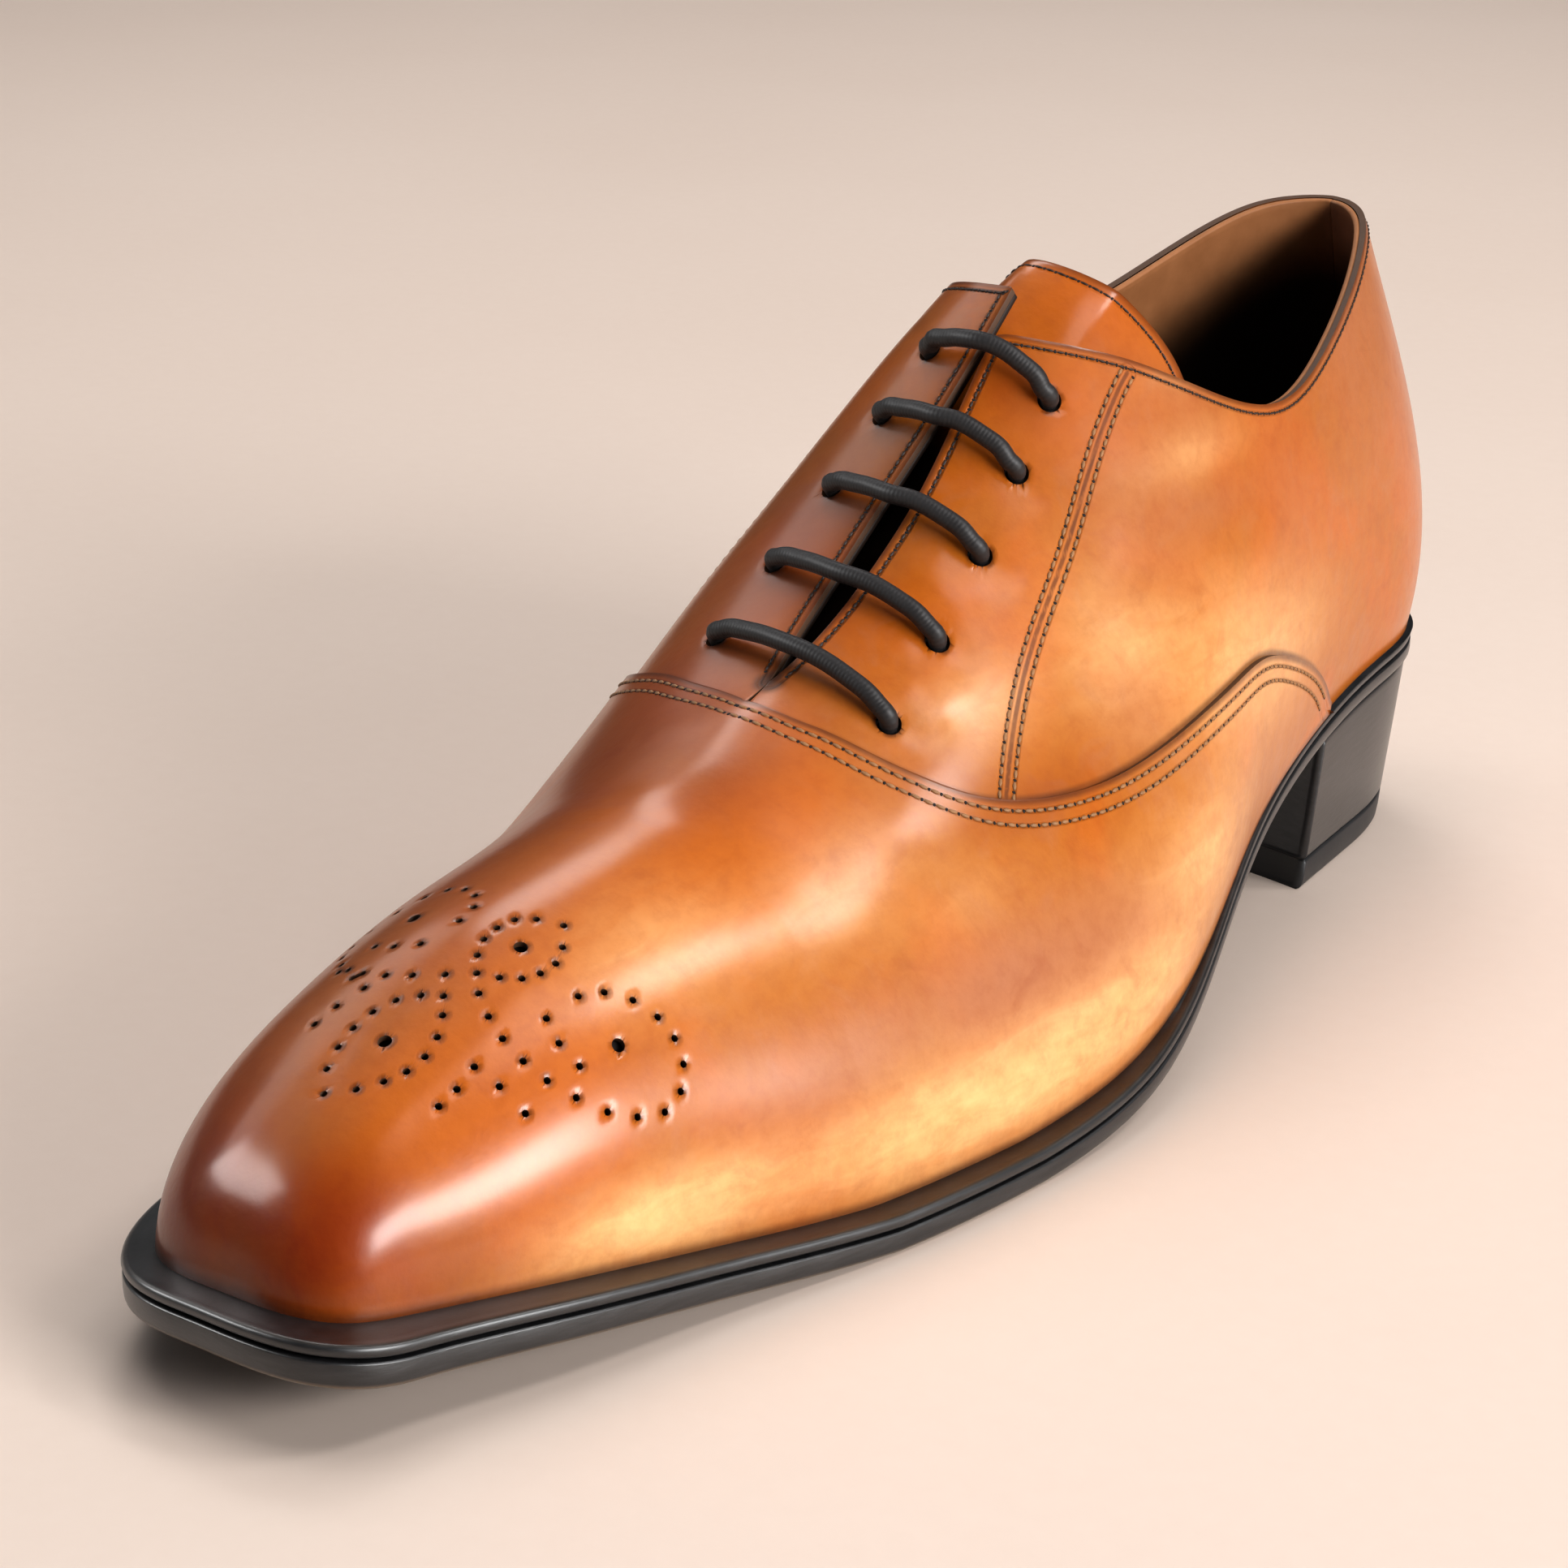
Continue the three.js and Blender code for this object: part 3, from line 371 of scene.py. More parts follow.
def upper_top(side, u):
    """v of the upper's top edge: the facings' edge on the slot, then the collar line."""
    u = np.atleast_1d(np.asarray(u, float))

    def inside(v):
        p = last_point(side, u, v)
        beside = (np.abs(p[..., 0] - RIDGE_AT["lean"](u)) >= slot_half(p[..., 1])) | (u > FADE_END)
        place = np.maximum(p[..., 1], COLLAR_START)
        both = (collar[OUTER](place) + collar[INNER](place)) / 2
        height = np.where(u > 1 - STEP / 2, both, collar[side](place))
        return beside & ((u < FACING_TOP) | (p[..., 2] < height))
    return np.where(u <= THROAT, 1, last_inside(inside, u.shape))


RIDGE_SIDE = 0.45


def at_distance(side, u, distance):
    """v of the point that lies this far from the centre line, high on the side."""
    u, distance = np.broadcast_arrays(np.asarray(u, float), np.asarray(distance, float))

    def reached(t):
        p = last_point(side, u, 1 - t * (1 - RIDGE_SIDE))
        return np.abs(p[..., 0] - RIDGE_AT["lean"](u)) < distance
    return 1 - last_inside(reached, u.shape) * (1 - RIDGE_SIDE)


# The last's own frame is centred on the last, and the shoe's on its box: the welt gives the step between.
def edge_point(side, u, offset):
    return feather(side, u) + outward(side, u) * np.asarray(offset)[..., None]


def frame_step():
    places = np.concatenate([np.linspace(0, 0.1, 10), np.linspace(0.1, 0.84, 25), np.linspace(0.84, 1, 10)])
    loop = np.concatenate([edge_point(side, places, SECTION[side]["reach"](places)) for side in SIDES])
    low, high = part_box("welt")
    middle = (np.array(low) + np.array(high)) / 2
    return (loop.min(axis=0) + loop.max(axis=0))[:2] / 2 - middle[:2]


STEP_X, STEP_Y = frame_step()
TO_FRAME = np.array([-STEP_X, -STEP_Y, 0])


# Paths on the last
def run_along(points):
    """Length of a line of points from its start to each of them."""
    return np.concatenate([[0], np.cumsum(np.linalg.norm(np.diff(points, axis=0), axis=1))])


def path(side, u, v):
    """A path on the last as rows of shares of its length, u and v."""
    run = run_along(last_point(side, u, v))
    return np.array([run / run[-1], u, v])


def on_path(way, share):
    return np.interp(share, way[0], way[1]), np.interp(share, way[0], way[2])


def slopes(side, u, v):
    low, high = np.maximum(0, v - STEP), np.minimum(1, v + STEP)
    du = (last_point(side, u + STEP, v) - last_point(side, u - STEP, v)) / (2 * STEP)
    dv = (last_point(side, u, high) - last_point(side, u, low)) / (high - low)[..., None]
    return du, dv


def beside(side, way, distance):
    """A path moved sideways on the last, up and back where the distance is above 0."""
    share, u, v = way
    for _ in range(4):
        here = last_point(side, u, v)
        across = unit(np.cross(last_normal(side, u, v), np.gradient(here, axis=0))) * side
        du, dv = slopes(side, u, v)
        both = np.stack([du, dv], axis=-1)
        moved = np.linalg.pinv(both) @ (across * distance / 4)[..., None]
        u, v = u + moved[..., 0, 0], np.clip(v + moved[..., 1, 0], 0, 1)
    return np.array([share, u, v])


def seam_path(side):
    u = np.concatenate([np.linspace(VAMP_EDGE[0][0], 0.42, 60), np.linspace(0.42, VAMP_EDGE[-1][0], 120)[1:]])
    return path(side, u, np.clip(vamp_edge(u), 0.02, 1))


def top_path(side, start):
    u = np.concatenate([np.linspace(start, FACING_TOP, 60), np.linspace(FACING_TOP, 0.66, 60)[1:],
                        np.linspace(0.66, 1, 80)[1:]])
    return path(side, u, upper_top(side, u))


# Soft forms of the worn-in leather: side, u and v where each starts and ends, half width and height in mm
FORMS = [
    [OUTER, 0.434, 0.74, 0.434, 0.70, 3.6, -0.35], [OUTER, 0.484, 0.75, 0.484, 0.71, 3.6, -0.35],
    [OUTER, 0.531, 0.77, 0.531, 0.72, 3.6, -0.3], [OUTER, 0.571, 0.78, 0.571, 0.73, 3.6, -0.3],
    [OUTER, 0.455, 0.735, 0.455, 0.70, 4.2, 0.4], [OUTER, 0.506, 0.84, 0.506, 0.78, 4.2, 0.4],
    [OUTER, 0.372, 0.98, 0.35, 0.90, 9.0, 0.7], [OUTER, 0.398, 0.60, 0.41, 0.52, 7.0, 0.5],
    [OUTER, 0.30, 0.90, 0.33, 0.62, 7.0, -0.35], [INNER, 0.30, 0.90, 0.33, 0.62, 7.0, -0.35],
    [OUTER, 0.24, 0.85, 0.26, 0.60, 9.0, 0.25],
    [OUTER, 0.60, 0.55, 0.63, 0.42, 8.0, 0.35], [OUTER, 0.66, 0.60, 0.70, 0.40, 6.0, -0.3],
    [OUTER, 0.55, 0.50, 0.57, 0.40, 6.0, -0.25],
]
# Clouds of colour on the leather: tone, side, u, v, reach along and up the shoe in mm, strength. The burn and
# core clouds are dye rubbed into the leather; the pale clouds are painted reflections of the floor and the
# room, and the rose clouds are painted mauve sheen.
CLOUDS = [
    ["burn", OUTER, 0.03, 0.10, 16, 10, 0.9], ["burn", INNER, 0.03, 0.14, 18, 12, 0.9],
    ["burn", OUTER, 0.045, 0.33, 8, 8, 0.75], ["burn", INNER, 0.06, 0.45, 12, 12, 0.6],
    ["burn", OUTER, 0.09, 0.10, 14, 6, 0.4], ["burn", INNER, 0.14, 0.5, 18, 10, 0.5],
    ["burn", OUTER, 0.435, 0.62, 9, 6, 0.35], ["burn", OUTER, 0.15, 0.95, 16, 7, 0.2],
    ["burn", INNER, 0.353, 0.82, 40, 16, 0.65], ["burn", INNER, 0.50, 0.90, 30, 14, 0.6],
    ["burn", INNER, 0.22, 0.75, 30, 14, 0.45], ["burn", OUTER, 0.66, 0.80, 8, 12, 0.25],
    ["burn", OUTER, 0.60, 0.86, 6, 8, 0.4], ["burn", OUTER, 0.47, 0.48, 24, 4, 0.3],
    ["rose", OUTER, 0.41, 0.30, 30, 8, 0.9], ["rose", OUTER, 0.29, 0.30, 28, 6, 0.6],
    ["rose", OUTER, 0.47, 0.26, 14, 6, 0.6],
    ["rose", INNER, 0.10, 0.85, 24, 20, 0.35], ["rose", OUTER, 0.37, 0.96, 14, 12, 0.5],
    ["rose", INNER, 0.45, 0.7, 70, 20, 0.3], ["rose", OUTER, 0.62, 0.55, 12, 16, 0.55],
    ["rose", OUTER, 0.68, 0.58, 10, 12, 0.5], ["rose", OUTER, 0.55, 0.42, 9, 11, 0.45],
    ["rose", OUTER, 0.86, 0.6, 26, 22, 0.8], ["rose", OUTER, 0.95, 0.4, 30, 26, 0.7],
    ["rose", OUTER, 0.74, 0.42, 12, 16, 0.35],
    ["core", OUTER, 0.13, 0.55, 22, 13, 1.0], ["core", OUTER, 0.08, 0.45, 14, 9, 0.8],
    ["core", OUTER, 0.28, 0.75, 20, 14, 0.7], ["core", OUTER, 0.36, 0.74, 12, 12, 0.6],
    ["core", OUTER, 0.5, 0.78, 24, 8, 0.5], ["core", OUTER, 0.585, 0.8, 16, 8, 0.5],
    ["pale", OUTER, 0.47, 0.64, 14, 7, 0.4],
    ["core", INNER, 0.44, 0.9, 12, 6, 0.6],
    ["pale", OUTER, 0.20, 0.10, 60, 6, 1.0], ["pale", OUTER, 0.36, 0.12, 40, 9, 0.85],
    ["pale", OUTER, 0.33, 0.58, 22, 9, 0.3], ["pale", OUTER, 0.44, 0.16, 40, 9, 0.8],
    ["pale", OUTER, 0.62, 0.3, 20, 14, 0.55], ["pale", OUTER, 0.55, 0.5, 10, 14, 0.35],
    ["pale", OUTER, 0.70, 0.2, 20, 10, 0.5], ["pale", OUTER, 0.56, 0.17, 24, 8, 0.6],
    ["pale", OUTER, 0.22, 0.66, 14, 9, 0.4], ["pale", OUTER, 0.40, 0.45, 12, 7, 0.2],
    ["pale", OUTER, 0.655, 0.52, 15, 4, 0.6], ["pale", OUTER, 0.56, 0.47, 10, 5, 0.4],
    ["pale", OUTER, 0.69, 0.62, 12, 3, 0.45], ["rose", OUTER, 0.66, 0.44, 14, 4, 0.5],
    ["burn", OUTER, 0.02, 0.30, 9, 6, 0.6], ["burn", INNER, 0.02, 0.42, 10, 8, 0.5],
    ["burn", OUTER, 0.34, 0.88, 12, 6, 0.35], ["core", OUTER, 0.20, 0.80, 16, 10, 0.7],
]
TONES = ("burn", "rose", "core", "pale")


def tree_of(points):
    tree = KDTree(len(points))
    for i, point in enumerate(points):
        tree.insert(point, i)
    tree.balance()
    return tree


def near(points, targets):
    """Distance in mm from each point to the nearest of the targets."""
    tree = tree_of(targets)
    return np.array([tree.find(p)[2] for p in points]) / MM


def relief(points):
    """Height that the soft forms add at points of the last."""
    total = np.zeros(len(points))
    for side, u0, v0, u1, v1, width, height in FORMS:
        a, b = last_point(side, np.array([u0, u1]), np.array([v0, v1]))
        t = np.clip((points - a) @ (b - a) / ((b - a) @ (b - a)), 0, 1)
        d = np.linalg.norm(points - (a + t[:, None] * (b - a)), axis=1)
        total += height * MM * np.exp(-(d / (width * MM)) ** 2)
    return total


def tones(points):
    found = {tone: np.zeros(len(points)) for tone in TONES}
    for tone, side, u, v, along, up, strength in CLOUDS:
        centre = last_point(side, np.array([u]), np.array([v]))[0]
        away = points - centre
        d = (away[:, 1] / (along * MM)) ** 2 + (away[:, 0] ** 2 + away[:, 2] ** 2) / (up * MM) ** 2
        found[tone] = 1 - (1 - found[tone]) * (1 - strength * np.exp(-d))
    return found


# Meshes
def grid(columns, rows):
    bm = bmesh.new()
    bmesh.ops.create_grid(bm, x_segments=columns, y_segments=rows, size=0.5)
    bmesh.ops.translate(bm, verts=bm.verts, vec=(0.5, 0.5, 0))
    return bm


def flat_of(bm):
    return np.array([v.co for v in bm.verts])


def put(bm, points, fields=None):
    """Moves the points of a mesh, and keeps a number of each field on every point."""
    layers = {name: bm.verts.layers.float.new(name) for name in fields or {}}
    for i, v in enumerate(bm.verts):
        v.co = points[i]
        for name, layer in layers.items():
            v[layer] = fields[name][i]


def halves(flat):
    """Each side with those points of a sheet over the ridge that lie on it."""
    outer = flat[:, 0] >= 0.5
    return ((OUTER, outer), (INNER, ~outer))


def close_up(bm, distance=1e-6):
    bmesh.ops.remove_doubles(bm, verts=bm.verts, dist=distance)


def face_towards(bm, way):
    """Turns an open sheet so that its face nearest to a point looks along way."""
    point, direction = way
    nearest = min(bm.faces, key=lambda f: (f.calc_center_median() - Vector(point)).length_squared)
    nearest.normal_update()
    if nearest.normal.dot(Vector(direction)) < 0:
        bmesh.ops.reverse_faces(bm, faces=bm.faces)


def turn_down(bm, depth):
    """Gives an open sheet its thickness at every rim. The rim's faces take the second material."""
    bm.normal_update()
    rims = [edge for edge in bm.edges if edge.is_boundary]
    normals = {v: v.normal.copy() for edge in rims for v in edge.verts}
    made = bmesh.ops.extrude_edge_only(bm, edges=rims)["geom"]
    for part in made:
        if isinstance(part, bmesh.types.BMVert):
            above = next(e.other_vert(part) for e in part.link_edges if e.other_vert(part) in normals)
            part.co = above.co - normals[above] * depth
        elif isinstance(part, bmesh.types.BMFace):
            part.material_index = 1


def placed(name, data):
    made = bpy.data.objects.new(name, data)
    bpy.context.scene.collection.objects.link(made)
    return made


RIM_ANGLE = math.radians(40)


def piece(name, bm, material, replaces=(), wall=None, rim=None):
    """An object of a finished mesh, with its wall and its rounded rims, that rides on the shoe."""
    bmesh.ops.translate(bm, verts=bm.verts, vec=TO_FRAME)
    for face in bm.faces:
        face.smooth = True
    mesh = bpy.data.meshes.new(name)
    bm.to_mesh(mesh)
    bm.free()
    materials = material if isinstance(material, (list, tuple)) else [material]
    for one in materials:
        mesh.materials.append(one)
    made = placed(name, mesh)
    if wall:
        solid = made.modifiers.new("wall", "SOLIDIFY")
        solid.thickness = wall
        solid.offset = -1
        if len(materials) > 1:
            solid.material_offset_rim = 1
    if rim:
        bevel = made.modifiers.new("rim", "BEVEL")
        bevel.width = rim
        bevel.segments = 2
        bevel.limit_method = "ANGLE"
        bevel.angle_limit = RIM_ANGLE
    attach(made, "root")
    if replaces:
        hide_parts(*replaces)


# Shader building
class Value:
    """A number that varies over a surface, as an output of a shader node."""

    def __init__(self, finish, socket):
        self.finish = finish
        self.socket = socket

    def sum(self, operation, first, second):
        return self.finish.maths(operation, first, second)

    def __add__(self, other):
        return self.sum("ADD", self, other)

    __radd__ = __add__

    def __sub__(self, other):
        return self.sum("SUBTRACT", self, other)

    def __rsub__(self, other):
        return self.sum("SUBTRACT", other, self)

    def __mul__(self, other):
        return self.sum("MULTIPLY", self, other)

    __rmul__ = __mul__

    def between(self, low, high):
        """0 below low and 1 above high, with soft ends. A low above high turns it round."""
        if low > high:
            return 1 - self.between(high, low)
        settings = {"interpolation_type": "SMOOTHSTEP", "clamp": True}
        values = {"Value": self, "From Min": low, "From Max": high}
        return self.finish.node("ShaderNodeMapRange", settings, values)


class Finish:
    """One material, built node by node."""

    def __init__(self, name):
        self.material = bpy.data.materials.new(name)
        self.material.use_nodes = True
        self.tree = self.material.node_tree
        self.tree.nodes.clear()
        self.place = self.node("ShaderNodeTexCoord", output="Object")

    def node(self, kind, settings=None, sockets=None, output=0):
        made = self.tree.nodes.new(kind)
        for name, value in (settings or {}).items():
            if name == "stops":
                ramp = made.color_ramp.elements
                while len(ramp) < len(value):
                    ramp.new(1)
                for stop, (position, colour) in zip(ramp, value):
                    stop.position = position
                    stop.color = colour
            else:
                setattr(made, name, value)
        for name, value in (sockets or {}).items():
            if isinstance(value, Value):
                self.tree.links.new(value.socket, made.inputs[name])
            else:
                made.inputs[name].default_value = value
        return Value(self, made.outputs[output]) if made.outputs else None

    def kept(self, name):
        return self.node("ShaderNodeAttribute", {"attribute_name": name}, output="Fac")

    def noise(self, size, detail=3, roughness=0.55, stretch=None, warp=0.0):
        where = self.place if stretch is None else self.stretched(stretch)
        return self.node("ShaderNodeTexNoise", None, {
            "Vector": where, "Scale": 1 / size, "Detail": detail, "Roughness": roughness, "Distortion": warp})

    def stretched(self, scale):
        return self.node("ShaderNodeMapping", None, {"Vector": self.place, "Scale": scale})

    def maths(self, operation, first, second=0.0):
        return self.node("ShaderNodeMath", {"operation": operation}, {0: first, 1: second})

    def blend(self, amount, first, second, how="MIX"):
        settings = {"data_type": "RGBA", "blend_type": how, "clamp_factor": True}
        return self.node("ShaderNodeMix", settings, {0: amount, 6: first, 7: second}, output=2)

    def bump(self, height, distance, strength=1.0, over=None):
        values = {"Height": height, "Distance": distance, "Strength": strength}
        if over is not None:
            values["Normal"] = over
        return self.node("ShaderNodeBump", None, values)

    def surface(self, **sockets):
        values = {name.replace("_", " ").title().replace("Ior", "IOR"): sockets[name] for name in sockets}
        shader = self.node("ShaderNodeBsdfPrincipled", None, values)
        self.node("ShaderNodeOutputMaterial", None, {"Surface": shader})
        return self.material


def colour(red, green, blue):
    return (red, green, blue, 1.0)


# The finishes
CORE = colour(0.52, 0.126, 0.002)
COGNAC = colour(0.45, 0.136, 0.010)
# Rose: a tone of the dye, mottled in at random, and also the colour of the painted mauve sheen.
ROSE_TONE_AND_SHEEN = colour(0.45, 0.178, 0.082)
# Pale: the colour of the painted reflections of the floor and the room.
PALE_REFLECTION = colour(0.92, 0.55, 0.24)
BURNT = colour(0.25, 0.030, 0.001)
EDGE_BROWN = colour(0.07, 0.013, 0.003)
# Near black of the painted shade in the slot and at the throat.
SLOT_SHADE_DARK = colour(0.012, 0.005, 0.003)


def burnished_calf(name, seams):
    """Waxed calf, its dye rubbed in by hand, with painted reflections, painted sheen and painted shade in its
    colour too. seams: attributes that give the distance to an edge in mm.
    """
    f = Finish(name)
    clouds = f.noise(0.030, detail=4, roughness=0.5, warp=0.4)
    rubbed = f.noise(0.009, detail=4, roughness=0.6, warp=0.8)
    streaks = f.noise(0.006, detail=3, roughness=0.6, stretch=(1.5, 0.45, 1.5), warp=0.6)
    mottle = f.noise(0.0028, detail=5, roughness=0.7)
    hide = f.blend(clouds.between(0.40, 0.64), COGNAC, CORE)
    hide = f.blend(rubbed.between(0.50, 0.72) * 0.30, hide, ROSE_TONE_AND_SHEEN)
    hide = f.blend(f.kept("core") * (0.7 + 0.6 * rubbed), hide, CORE)
    # Painted reflection: pale peach patches where the leather mirrors the floor and the room.
    hide = f.blend(f.kept("pale") * (0.45 + streaks), hide, PALE_REFLECTION)
    # Painted sheen: mauve clouds where the leather mirrors the far floor and the wall.
    hide = f.blend(f.kept("rose") * (0.55 + 0.9 * clouds), hide, ROSE_TONE_AND_SHEEN)
    hide = f.blend(mottle.between(0.35, 0.75) * 0.16, hide, BURNT)
    hide = f.blend(rubbed.between(0.48, 0.26) * 0.16, hide, BURNT)
    hide = f.blend(f.kept("burn") * (0.65 + 0.7 * rubbed), hide, BURNT)
    dark = None
    grooves = None
    # Darker bands along edges and seams: dye burnished in at the vamp's and the quarters' edges and round the
    # tongue, painted shade along the vamp's foot where it meets the welt, and a painted shadow of the vamp's
    # edge along the quarters' lap.
    for attribute, reach, lines in seams:
        away = f.kept(attribute)
        band = away.between(reach, 0.2) * (0.45 + 0.7 * rubbed)
        dark = band if dark is None else f.maths("MAXIMUM", dark, band)
        for line in lines:
            off = f.maths("ABSOLUTE", away - line)
            dent = off.between(0.55, 0.1)
            grooves = dent if grooves is None else grooves + dent
    hide = f.blend(dark * 0.8, hide, EDGE_BROWN)
    # Painted shade in the slot: on the tongue where it lies under the facings, and on the quarters where they
    # meet at the throat.
    hide = f.blend(f.kept("shut"), hide, SLOT_SHADE_DARK)
    hole = f.kept("hole")
    hide = f.blend(hole.between(0.9, 0.1) * 0.7, hide, EDGE_BROWN)
    grain = f.noise(0.00075, detail=2, roughness=0.6)
    pebble = f.noise(0.0045, detail=2, roughness=0.5)
    normal = f.bump(pebble, 0.00018)
    normal = f.bump(grain, 0.00003, over=normal)
    if grooves is not None:
        normal = f.bump(1 - grooves, 0.00022, over=normal)
    normal = f.bump(hole.between(0.1, 0.9), 0.00016, over=normal)
    wear = f.noise(0.014, detail=3, roughness=0.6)
    return f.surface(base_color=hide, roughness=0.38 + 0.14 * wear, specular_ior_level=0.14,
                     coat_weight=0.62 + 0.3 * clouds, coat_roughness=0.21, coat_ior=1.45, normal=normal)


def plain(name, base, rough, mottle=0.2, size=0.003, coat=0.0, coat_rough=0.2):
    """One colour with darker spots of that size in it."""
    f = Finish(name)
    spots = f.noise(size, detail=4, roughness=0.6)
    broad = f.noise(size * 6, detail=2, roughness=0.5)
    shade = tuple(c * (1 - mottle) for c in base[:3])
    tint = f.blend(spots * broad * 2, colour(*shade), colour(*base))
    return f.surface(base_color=tint, roughness=rough + 0.1 * (spots - 0.5), normal=f.bump(spots, 0.00004),
                     coat_weight=coat * (0.6 + 0.8 * broad), coat_roughness=coat_rough)


def shaded_lining():
    """Tan lining leather, with painted shade where it lies far inside the shoe."""
    f = Finish("lining_leather")
    spots = f.noise(0.006, detail=4, roughness=0.6)
    tint = f.blend(spots, colour(0.27, 0.105, 0.035), colour(0.46, 0.20, 0.08))
    # Painted shade: near black where the lining lies far inside the shoe.
    tint = f.blend(f.kept("deep"), tint, colour(0.012, 0.006, 0.004))
    return f.surface(base_color=tint, roughness=0.5 + 0.15 * spots, specular_ior_level=0.3,
                     normal=f.bump(spots, 0.00004))


def edge_dressing():
    """Black ink and wax on the trimmed edge of the sole, rubbed to satin along its length."""
    f = Finish("edge_dressing")
    wax = f.noise(0.004, detail=4, roughness=0.65, stretch=(1, 0.5, 3.5))
    fine = f.noise(0.0007, detail=3, roughness=0.6)
    tint = f.blend(wax.between(0.35, 0.75), colour(0.0035, 0.0035, 0.0045), colour(0.012, 0.0115, 0.013))
    rim = f.kept("rim")
    # A lighter brown band where the knots give it: low on the sole's edge and under the welt's bead.
    tint = f.blend(rim * (0.5 + 0.8 * wax), tint, colour(0.20, 0.13, 0.075))
    normal = f.bump(wax, 0.00012)
    normal = f.bump(fine, 0.00002, over=normal)
    return f.surface(base_color=tint, roughness=0.36 + 0.2 * wax, coat_weight=0.65 + 0.35 * wax,
                     coat_roughness=0.3, specular_ior_level=0.5, normal=normal)


BRAID_TURN = 5.2


def waxed_cord():
    f = Finish("waxed_cord")
    around = f.kept("around")
    along = f.kept("along")
    braid = f.maths("SINE", along * BRAID_TURN + around * math.tau)
    cross = f.maths("SINE", along * BRAID_TURN - around * math.tau)
    weave = braid * cross * 0.5 + 0.5
    spots = f.noise(0.0016, detail=3)
    tint = f.blend(weave * 0.5 + spots * 0.3, colour(0.007, 0.006, 0.007), colour(0.024, 0.020, 0.020))
    return f.surface(base_color=tint, roughness=0.55 + 0.12 * spots, coat_weight=0.18, coat_roughness=0.35,
                     normal=f.bump(weave, 0.00012, strength=0.6))


def pale_floor():
    f = Finish("pale_floor")
    broad = f.noise(0.25, detail=3, roughness=0.55)
    fine = f.noise(0.004, detail=3, roughness=0.6)
    tint = f.blend(broad * 0.6 + fine * 0.25, colour(0.72, 0.585, 0.50), colour(0.81, 0.69, 0.61))
    return f.surface(base_color=tint, roughness=0.55, specular_ior_level=0.3)


# Rows of stitches, in mm from the edge or line that each follows
SEAM_ROWS = (1.7, 3.9)
TOP_ROW = 1.5
FACING_ROW = 1.15

# The foot band is painted shade where the upper meets the welt, and the lap band is a painted shadow of the
# vamp's edge on the quarter.
vamp_calf = burnished_calf("vamp_calf", [("seam", 1.3, SEAM_ROWS), ("foot", 2.0, ())])
quarter_calf = burnished_calf("quarter_calf", [
    ("seam", 1.1, (TOP_ROW,)), ("lap", 1.4, ()), ("facing", 0.5, (FACING_ROW,)),
])
tongue_calf = burnished_calf("tongue_calf", [("seam", 2.4, (2.2,))])
cut_edge = plain("cut_edge", (0.10, 0.045, 0.02), 0.6, size=0.0012)
lining_leather = shaded_lining()
black_edge = edge_dressing()
black_rubber = plain("black_rubber", (0.022, 0.022, 0.024), 0.5, mottle=0.5, size=0.002, coat=0.2,
                     coat_rough=0.35)
cord_finish = waxed_cord()
tan_thread = plain("tan_thread", (0.40, 0.20, 0.08), 0.6, mottle=0.4, size=0.0012)
dark_thread = plain("dark_thread", (0.04, 0.018, 0.010), 0.55, mottle=0.4, size=0.0012)
# The needle holes are not cut: dark dots of painted shade stand for them.
needle_hole_shade = plain("needle_hole_shade", (0.010, 0.004, 0.002), 0.8)
shade_inside = plain("shade_inside", (0.012, 0.006, 0.004), 0.9)


# The upper
FAR = 30.0


def sheet(side, flat, top, foot):
    """u and v on a sheet between two paths on the last: flat x runs along them, and y from foot to top."""
    u0, v0 = on_path(foot, flat[:, 0])
    u1, v1 = on_path(top, flat[:, 0])
    return u0 + (u1 - u0) * flat[:, 1], v0 + (v1 - v0) * flat[:, 1]


def surface(side, u, v, face):
    """Points at a height over the last, with the soft forms of wear and the foot let down on the welt."""
    base = last_point(side, u, v)
    points = base + last_normal(side, u, v) * (relief(base) + face)[:, None]
    points[:, 2] -= GAP * (1 - smooth(v, 0, 0.03))
    return points


def line(side, way, face, samples=400):
    u, v = on_path(way, np.linspace(0, 1, samples))
    return surface(side, u, v, face)


RIDGE_SHARE = 0.40


def over_and_down(side):
    """The vamp's top line: over the ridge to the throat, which both sides share, then down the seam."""
    u = np.linspace(0, VAMP_EDGE[0][0], 140)
    over = path(side, u, np.ones(len(u)))
    down = SEAMS[side][:, 1:].copy()
    over[0] *= RIDGE_SHARE
    down[0] = RIDGE_SHARE + (1 - RIDGE_SHARE) * down[0]
    return np.concatenate([over, down], axis=1)


VAMP_TOPS, VAMP_FEET, SEAMS = {}, {}, {}
for side in SIDES:
    SEAMS[side] = seam_path(side)
    VAMP_TOPS[side] = over_and_down(side)
    low = np.linspace(0, VAMP_EDGE[-1][0], 260)
    VAMP_FEET[side] = path(side, low, 0 * low)

